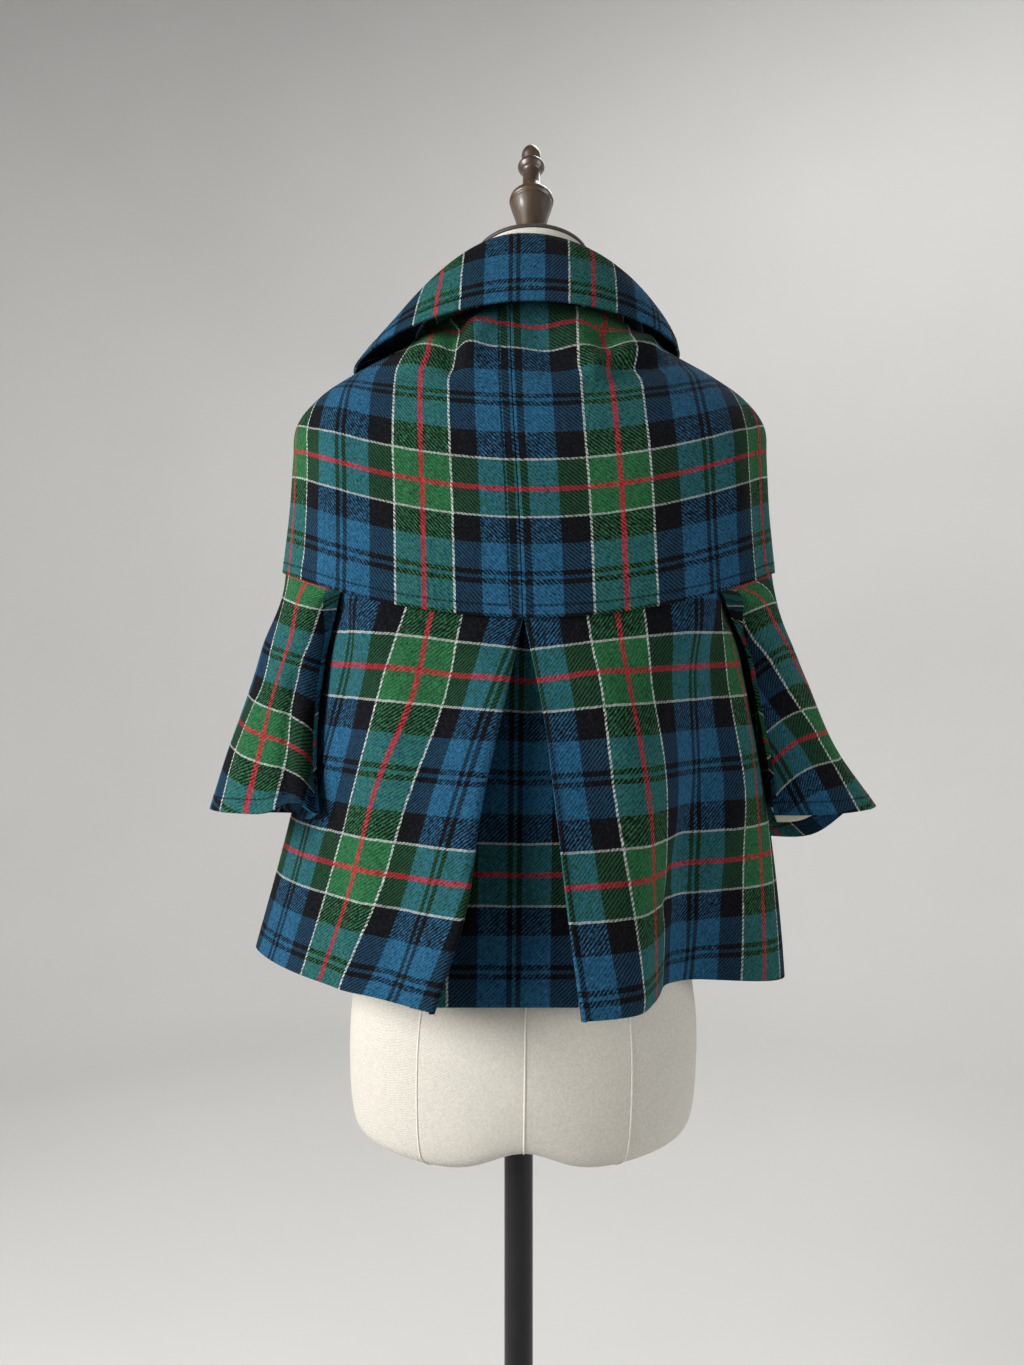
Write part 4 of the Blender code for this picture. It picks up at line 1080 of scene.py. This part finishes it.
def thread_finish(name):
    material, start = new_material(name, THREAD_FINISH)
    twist = start.place().noise(*THREAD_NOISE)
    colour = twist.mix(THREAD_DARK, THREAD_PALE)
    rough = THREAD_ROUGH + twist * THREAD_ROUGH_SPREAD
    return feed(material, Base_Color=colour, Roughness=rough, Normal=twist.bump(*THREAD_BUMP))


def floor_finish(name):
    material, start = new_material(name, FLOOR_FINISH)
    cloud = start.place().noise(*FLOOR_NOISE)
    colour = cloud.mix(FLOOR_DARK, FLOOR_PALE)
    return feed(material, Base_Color=colour, Roughness=FLOOR_ROUGH + cloud * FLOOR_ROUGH_SPREAD)


def add_object(name, shape, material):
    """A smooth object from a bmesh, at the origin."""
    mesh = bpy.data.meshes.new(name)
    shape.to_mesh(mesh)
    shape.free()
    mesh.shade_smooth()
    mesh.materials.append(material)
    made = bpy.data.objects.new(name, mesh)
    bpy.context.scene.collection.objects.link(made)
    return made


def add_piece(name, shape, material):
    """A finished piece on the root body, with its slot."""
    piece = add_object(name, shape, material)
    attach(piece, "root")
    return piece


def laid_grid(points, maps, closed=False):
    """A bmesh grid laid onto rows of points, with maps of values at those points as UV maps."""
    rows, columns = points.shape[:2]
    shape = bmesh.new()
    bmesh.ops.create_grid(shape, x_segments=columns - 1, y_segments=rows - 1, size=0.5)
    places = {}
    for vert in shape.verts:
        column = round((vert.co.x + 0.5) * (columns - 1))
        row = round((0.5 - vert.co.y) * (rows - 1))
        places[vert] = (row, column)
    for name, (first, second) in maps.items():
        layer = shape.loops.layers.uv.new(name)
        for face in shape.faces:
            for loop in face.loops:
                place = places[loop.vert]
                loop[layer].uv = (first[place], second[place])
    for vert in shape.verts:
        vert.co = points[places[vert]]
    if closed:
        bmesh.ops.remove_doubles(shape, verts=shape.verts, dist=MERGE)
    return shape


def filled_rings(points):
    """A closed bmesh on rings of points, with both ends filled."""
    shape = laid_grid(points, {}, closed=True)
    bmesh.ops.holes_fill(shape, edges=shape.edges, sides=0)
    bmesh.ops.recalc_face_normals(shape, faces=shape.faces)
    return shape


def cloth(name, node, points, grain, from_edge, material, closed=False):
    """A cloth wall on rows of points that stands for a CAD node."""
    flat = np.zeros_like(from_edge)
    shape = laid_grid(points, {"grain": grain, "edges": (from_edge, flat)}, closed)
    bmesh.ops.recalc_face_normals(shape, faces=shape.faces)
    piece = add_piece(name, shape, material)
    wall = piece.modifiers.new("Cloth wall", "SOLIDIFY")
    wall.thickness = CLOTH
    wall.offset = 0
    rim = piece.modifiers.new("Soft rim", "BEVEL")
    rim.width = RIM_WIDTH
    rim.segments = RIM_STEPS
    rim.limit_method = "ANGLE"
    rim.angle_limit = radians(RIM_ANGLE)
    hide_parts(node)


def spun(outline, steps):
    """A closed skin that faces outwards: an outline turned a full circle about Z."""
    shape = bmesh.new()
    points = [shape.verts.new((row.radius, 0, row.height)) for row in outline]
    edges = [shape.edges.new(pair) for pair in zip(points, points[1:])]
    whole = {"cent": (0, 0, 0), "axis": (0, 0, 1), "angle": 2 * pi, "use_merge": True}
    bmesh.ops.spin(shape, geom=points + edges, steps=steps, **whole)
    bmesh.ops.remove_doubles(shape, verts=shape.verts, dist=MERGE)
    bmesh.ops.recalc_face_normals(shape, faces=shape.faces)
    return shape


def turned(name, node, profile, steps, material, slot, place):
    """A piece turned from a profile, from its foot up, and set in its place by a matrix."""
    shape = spun([Turned(profile[0].height, 0), *profile, Turned(profile[-1].height, 0)], steps)
    layer = shape.loops.layers.uv.new("face")
    widest = max(row.radius for row in profile)
    for face in shape.faces:
        for loop in face.loops:
            loop[layer].uv = (loop.vert.co.x / widest, loop.vert.co.y / widest)
    bmesh.ops.transform(shape, matrix=place, verts=shape.verts)
    piece = add_piece(name, shape, material)
    piece.data.set_sharp_from_angle(angle=radians(SHARP_TURNED))
    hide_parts(node)


def along_path(at, run, values):
    """Values of a path's points, at a distance along it."""
    return np.array([np.interp(at, run, column) for column in values.T])


def stitches(name, paths):
    """Rows of small raised stitches along paths of points and outward directions."""
    shape = bmesh.new()
    size = Matrix.Diagonal((STITCH_RADIUS, STITCH_RADIUS, STITCH_LENGTH / 2, 1))
    for points, normals in paths:
        run = lengths(points[None], 1)[0]
        for at in np.arange(STITCH_STEP, run[-1] - STITCH_STEP, STITCH_STEP):
            ends = (at - STITCH_LENGTH / 2, at + STITCH_LENGTH / 2)
            tail, head = (Vector(along_path(end, run, points)) for end in ends)
            out = Vector(along_path(at, run, normals)).normalized()
            along = (head - tail).normalized()
            side = along.cross(out).normalized()
            centre = (tail + head) / 2 + out * (CLOTH / 2)
            turn = Matrix((side, out, along)).transposed().to_4x4()
            place = Matrix.Translation(centre) @ turn @ size
            bmesh.ops.create_uvsphere(shape, **STITCH_BALL, matrix=place)
    add_piece(name, shape, THREAD)


def row_path(points, distance, from_end, outward):
    """The path along a grid's rows at a distance from its first or last row."""
    run = lengths(points, 0)
    normals = grid_normals(points) * outward
    path, out = [], []
    for column in range(points.shape[1]):
        at = run[-1, column] - distance if from_end else distance
        path.append(along_path(at, run[:, column], points[:, column]))
        out.append(along_path(at, run[:, column], normals[:, column]))
    return np.array(path), np.array(out)


def column_path(points, distance, from_end, outward):
    """The path along a grid's columns at a distance from its first or last column."""
    return row_path(np.swapaxes(points, 0, 1), distance, from_end, -outward)


def from_edges(points, edges):
    """Distance to the nearest of a grid's topstitched edges: first or last row or column."""
    down, along = lengths(points, 0), lengths(points, 1)
    far = {"top": down, "bottom": down[-1:] - down, "start": along, "end": along[:, -1:] - along}
    return np.minimum.reduce([far[edge] for edge in edges])


def skirt_weft(points, shares):
    """Place down the cloth of the skirt's points: level near the hem, and rising at the sides above."""
    shares = shares[:, None]
    sideways = points[..., 0] / SKIRT_RINGS[-1].half_width
    rise = SKIRT_WEFT_RISE * np.abs(points[..., 0]) * (1 - shares) ** 2
    rise -= SKIRT_WEFT_TILT * HEM_TILT * shares * sideways**3
    below = SKIRT_RINGS[0].back_z - (points[..., 2] - rise)
    return SKIRT_WEFT_START + SKIRT_WEFT_STRETCH * below


def cloth_place(at, known, places):
    """Place on the cloth of points between known ones; outside those the cloth lies at full size."""
    inside = np.interp(at, known, places)
    return inside + np.minimum(at - known[0], 0) + np.maximum(at - known[-1], 0)


def creased(name, points, outward):
    """A piece's points, moved outwards by its creases."""
    lift = lift_of(CREASES[name], lengths(points, 1), lengths(points, 0))
    return points + outward * lift[..., None] * grid_normals(points)


def hem_turned(points):
    """A sleeve's points, with the hem turned up outside its back edge and down inside it."""
    run = lengths(points, 1)
    near = np.clip(1 - from_edges(points, ["bottom"]) / HEM_TURN.depth, 0, 1) ** 2
    turned_points = points.copy()
    for away, rise in ((run, HEM_TURN.outer_rise), (run[:, -1:] - run, HEM_TURN.inner_rise)):
        share = (away / HEM_TURN.at) ** 2
        turned_points[..., 2] += rise * near * share * np.exp(1 - share)
    return turned_points


def add_front(node, sign, points, weft, edges, material):
    """A front with its grain counted from the centre front; gives back its creased points."""
    along = lengths(points, 1)
    across = -sign * (along[:, -1:] - along - OVERLAP)
    from_edge = from_edges(points, edges)
    points = creased(f"wool_{node}", points, sign)
    cloth(f"wool_{node}", node, points, (across, weft), from_edge, material)
    return points


def build_yoke():
    shares = np.linspace(0, 1, YOKE_DOWN + 1)
    stitched = []
    for side, sign in SIDES:
        back = lean([yoke_back_row(sign, share, YOKE_ACROSS) for share in shares])
        across = sign * cloth_place(lengths(back, 1), YOKE_ACROSS_AT, YOKE_ACROSS_PLACE[side])
        middle = lengths(back, 0)[:, 0]
        start = np.interp(-YOKE_WEFT_START, -back[:, 0, 2], middle)
        weft = cloth_place(middle - start, YOKE_DOWN_AT, YOKE_DOWN_PLACE)
        weft = np.repeat(weft[:, None], back.shape[1], axis=1)
        from_edge = from_edges(back, ["bottom", "start"] if side == "left" else ["bottom"])
        back = creased(f"wool_yoke_back_{side}", back, sign)
        cloth(f"wool_yoke_back_{side}", f"yoke_back_{side}", back, (across, weft), from_edge, WOOL_YOKE)
        stitched.append(row_path(back, STITCH_IN, True, sign))
        if side == "left":
            stitched.append(column_path(back, STITCH_IN, False, sign))
        front = lean([front_row(yoke, share, sign, YOKE_ACROSS) for share in shares])
        front = add_front(f"yoke_front_{side}", sign, front, weft, ["bottom", "end"], WOOL_YOKE)
        stitched.append(row_path(front, STITCH_IN, True, sign))
        stitched.append(column_path(front, STITCH_IN, True, sign))
    stitches("topstitch_yoke", stitched)


def skirt_back_grain(plain, row_shares):
    """Place across the cloth of the back skirt's points, panel by panel and over the pleat."""
    run = lengths(lean(plain), 1)
    left_fold, right_fold = SKIRT_ACROSS, plain.shape[1] - 1 - SKIRT_ACROSS
    inwards = 3 * PLEAT_STEPS  # round the outer fold, back, and round the inner fold
    left_inner, right_inner = left_fold + inwards, right_fold - inwards
    left_lines, right_lines = table(LEFT_LINES, row_shares), table(RIGHT_LINES, row_shares)
    places = [0, WHITE, HALF_SETT, REPEAT - WHITE]
    across = np.empty_like(run)
    for row, along in enumerate(run):
        left_at, right_at = ([column[row] for column in lines] for lines in (left_lines, right_lines))
        left = -cloth_place(along[left_fold] - along[: left_fold + 1], left_at, places)
        right = cloth_place(along[right_fold:] - along[right_fold], right_at, places) + 2 * REPEAT
        underlay = plain[row, [left_inner, right_inner], 0] - UNDERLAY_PAIR + REPEAT
        known = along[[left_fold, left_inner, right_inner, right_fold]]
        across[row] = np.interp(along, known, [left[-1], *underlay, right[0]])
        across[row, : left_fold + 1] = left
        across[row, right_fold:] = right
    return across


def build_skirt():
    shares = np.linspace(0, 1, SKIRT_DOWN + 1)
    row_shares = np.concatenate([[0], shares])
    levels = [(lap_row, 0.0)] + [(skirt, share) for share in shares]
    plain = np.array([back_skirt_row(*level, SKIRT_ACROSS, PLEAT_STEPS) for level in levels])
    grain = (skirt_back_grain(plain, row_shares), skirt_weft(plain, row_shares))
    points = creased("wool_skirt_back", lean(plain), 1)
    unstitched = np.ones_like(grain[0])
    cloth("wool_skirt_back", "skirt_back", points, grain, unstitched, WOOL_SKIRT)
    stitched = []
    for side, sign in SIDES:
        plain = np.array([front_row(*level, sign, SKIRT_ACROSS) for level in levels])
        weft = skirt_weft(plain, row_shares)
        front = add_front(f"skirt_front_{side}", sign, lean(plain), weft, ["end"], WOOL_SKIRT)
        stitched.append(column_path(front, STITCH_IN, True, sign))
    stitches("topstitch_fronts", stitched)


def sleeve_grain(side, points, row_shares):
    """Place across and down the cloth of a sleeve's points."""
    run, down = lengths(points, 1), lengths(points, 0) - LAP
    grain = SLEEVE_GRAIN[side]
    lines = np.array(table(grain.across, row_shares)).T
    places = [WHITE, HALF_SETT, REPEAT - WHITE]
    across = np.array([cloth_place(along, at, places) for along, at in zip(run, lines)])
    turned_in = np.clip(1 - run / grain.turn, 0, 1) ** 2
    at_edge = cloth_place(down, grain.edge, SLEEVE_PLACES)
    weft = cloth_place(down, grain.side, SLEEVE_PLACES)
    return across, weft + turned_in * (at_edge - weft)


def build_sleeves():
    shares = np.linspace(0, 1, SLEEVE_DOWN + 1)
    row_shares = np.concatenate([[0], shares])
    stitched = []
    for side, sign, rows, hem in SLEEVES:
        rings = []
        for share, lapped in [(0.0, True)] + [(share, False) for share in shares]:
            outer, inner = sleeve_points(rows, hem, sign, SLEEVE_AROUND, share, lapped)
            rings.append(np.concatenate([outer, inner[::-1], outer[:1]]))
        points = lean(rings)
        across, weft = sleeve_grain(side, points, row_shares)
        from_edge = from_edges(points, ["bottom"]) - SLEEVE_STITCH_IN + STITCH_IN
        name = f"wool_sleeve_{side}"
        points = creased(name, points, sign)
        if side == "left":
            points = hem_turned(points)
        grain = (sign * across, weft)
        cloth(name, f"sleeve_{side}", points, grain, from_edge, WOOL_SLEEVE, closed=True)
        stitched.append(row_path(points[:, : SLEEVE_AROUND + 1], SLEEVE_STITCH_IN, True, sign))
        build_lining(side, sign, rows, hem)
    stitches("topstitch_sleeves", stitched)


def build_lining(side, sign, rows, hem):
    """The strip of lining inside a sleeve's outer side."""
    shares = np.linspace(LINING_TOP, LINING_END, SLEEVE_DOWN // 2 + 1)
    around = 2 * SLEEVE_AROUND
    outer = np.array([sleeve_points(rows, hem, sign, around, share, False)[0] for share in shares])
    outer -= sign * LINING_STEP * grid_normals(outer)
    count = outer.shape[1]
    first = round(count * acos(1 - 2 * LINING_EDGE) / pi)
    points = lean(outer[:, first : count - first : 2])
    run = lengths(points, 1)
    grain = (run, lengths(points, 0))
    cloth(f"lining_sleeve_{side}", f"sleeve_lining_{side}", points, grain, run, LINING)


def build_collar():
    points = collar_rows()
    run, down = lengths(points, 1), lengths(points, 0)
    middle = run[:, COLLAR_AROUND // 2]
    across = COLLAR_WARP_STRETCH * (run - middle[:, None] - COLLAR_MIDDLE)
    weft = down - down[-1:] + COLLAR_WEFT_UP
    from_edge = from_edges(points, ["bottom", "start", "end"])
    cloth("wool_collar", "collar", points, (across, weft), from_edge, WOOL_COLLAR)
    stitches("topstitch_collar", [row_path(points, STITCH_IN, True, 1)])


def build_buttons():
    angle = np.array([180.0])
    for button in BUTTONS:
        on_yoke = button.share_of_skirt is None
        surface, share = (yoke, button.share_of_yoke) if on_yoke else (skirt, button.share_of_skirt)
        point, normal = surface(angle, share)[0], normals_of(surface, angle, share)[0]
        place = Matrix.Translation(lean(point + normal * (CLOTH / 2 + BUTTON_CLEAR)))
        place @= Matrix.Rotation(-np.arctan2(normal[1], normal[2]), 4, "X")
        turned(f"horn_{button.name}", button.name, BUTTON, BUTTON_STEPS, HORN, "dark_horn", place)


def build_form():
    angles = np.linspace(0, 2 * np.pi, FORM_AROUND + 1)
    skin = [form_ring(share, angles) for share in np.linspace(0, 1, FORM_UP + 1)]
    socket = np.stack([np.sin(angles), -np.cos(angles), 0 * angles], axis=-1) * SOCKET_RADIUS
    rises = [SOCKET_TOP, FORM_RINGS[0].z + NOTCH_RISE]
    points = np.array([socket + [0, 0, rise] for rise in rises] + skin)
    piece = add_piece("canvas_form", filled_rings(points), CANVAS)
    piece.data.set_sharp_from_angle(angle=radians(SHARP_FORM))
    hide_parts("form_torso")


def build_piping():
    """Fine cords along the form's seams, half sunk in the canvas."""
    turn = np.linspace(0, 2 * pi, PIPING_SIDES + 1)[None, :, None]
    for name, angle in PIPING.items():
        shares = np.linspace(*PIPING_SHARES, PIPING_ROWS + 1)
        path = np.array([form_ring(share, np.radians([angle]))[0] for share in shares])
        along = np.gradient(path, axis=0)
        along /= np.linalg.norm(along, axis=-1, keepdims=True)
        out = np.array([sin(radians(angle)), -cos(radians(angle)), 0])
        side = np.cross(along, out)
        side /= np.linalg.norm(side, axis=-1, keepdims=True)
        up = np.cross(side, along)
        circle = np.cos(turn) * up[:, None] + np.sin(turn) * side[:, None]
        shape = filled_rings(path[:, None] + PIPING_RADIUS * circle)
        add_piece(f"piping_{name}", shape, PIPING_CORD)


def build_stand():
    turned("metal_base", "stand_base", BASE, BASE_STEPS, METAL, "black_metal", Matrix())
    turned("metal_pole", "stand_pole", POLE, POLE_STEPS, METAL, "black_metal", Matrix())


def build_neck():
    slant = radians(NECK_SLANT)
    top = Vector(lean([0, 0, FORM_RINGS[-1].z]))
    up = Vector((0, sin(slant), cos(slant)))
    tilt = Matrix.Rotation(-slant, 4, "X")
    size = Matrix.Diagonal((PLATE_HALF_WIDTH, PLATE_HALF_DEPTH / cos(slant), 1, 1))
    place = Matrix.Translation(top + up * SEAM_GAP) @ tilt @ size
    turned("dark_neck_plate", "neck_plate", PLATE, NECK_STEPS, LACQUER, "dark_plate", place)
    shares = np.linspace(0, 1, FINIAL_PARTS * (len(FINIAL) - 1) + 1)
    profile = [table(FINIAL, share) for share in shares]
    place = Matrix.Translation(top + up * (PLATE_THICK + 2 * SEAM_GAP)) @ tilt
    turned("wood_finial", "finial", profile, NECK_STEPS, WOOD, "turned_wood", place)


def build_floor():
    """A pale round floor that sweeps up into a backdrop on all sides."""
    turn = np.linspace(-pi / 2, 0, SWEEP_STEPS + 1)
    sweep = [Turned(SWEEP + SWEEP * sin(at), FLOOR_RADIUS + SWEEP * cos(at)) for at in turn]
    shape = spun([Turned(0, 0), *sweep, Turned(BACKDROP_TOP, FLOOR_RADIUS + SWEEP)], FLOOR_STEPS)
    bmesh.ops.reverse_faces(shape, faces=shape.faces)
    add_object("floor", shape, floor_finish("pale_floor"))


def build_light():
    for light in LIGHTS:
        lamp = bpy.data.lights.new(light.name, "AREA")
        lamp.shape = "DISK"
        lamp.size = light.size
        lamp.energy = light.watts
        lamp.color = light.colour
        made = bpy.data.objects.new(light.name, lamp)
        made.location = light.place
        aim = Vector(light.target) - Vector(light.place)
        made.rotation_euler = aim.to_track_quat("-Z", "Y").to_euler()
        bpy.context.scene.collection.objects.link(made)
    world = bpy.data.worlds.new("studio")
    world.use_nodes = True
    background = world.node_tree.nodes["Background"]
    background.inputs["Color"].default_value = WORLD_COLOUR
    background.inputs["Strength"].default_value = WORLD_STRENGTH
    bpy.context.scene.world = world
    bpy.context.scene.view_settings.view_transform = "Standard"


def build_camera():
    lens = bpy.data.cameras.new("camera")
    lens.lens = LENS
    lens.sensor_width = SENSOR
    lens.clip_start = CLIP_START
    made = bpy.data.objects.new("camera", lens)
    made.location = CAMERA_PLACE
    made.rotation_euler = (radians(90), 0, 0)
    bpy.context.scene.collection.objects.link(made)
    bpy.context.scene.camera = made


WOOL_YOKE = tartan("tartan_wool_yoke", -1)
WOOL_SKIRT = tartan("tartan_wool_skirt", 1)
WOOL_SLEEVE = tartan("tartan_wool_sleeve", 1)
WOOL_COLLAR = tartan("tartan_wool_collar", 1)
THREAD = thread_finish("dark_thread")
LINING = plain_weave("cream_lining_satin", LINING_WEAVE)
CANVAS = plain_weave("cream_form_canvas", CANVAS_WEAVE)
PIPING_CORD = plain_weave("cream_piping", PIPING_WEAVE)
WOOD = turned_wood("dark_turned_wood")
LACQUER = dark_finish("dark_plate_lacquer", PLATE_DARK)
METAL = dark_finish("black_satin_metal", METAL_DARK)
HORN = horn("dark_polished_horn")

build_camera()
build_light()
build_floor()
build_yoke()
build_skirt()
build_sleeves()
build_collar()
build_buttons()
build_form()
build_piping()
build_stand()
build_neck()
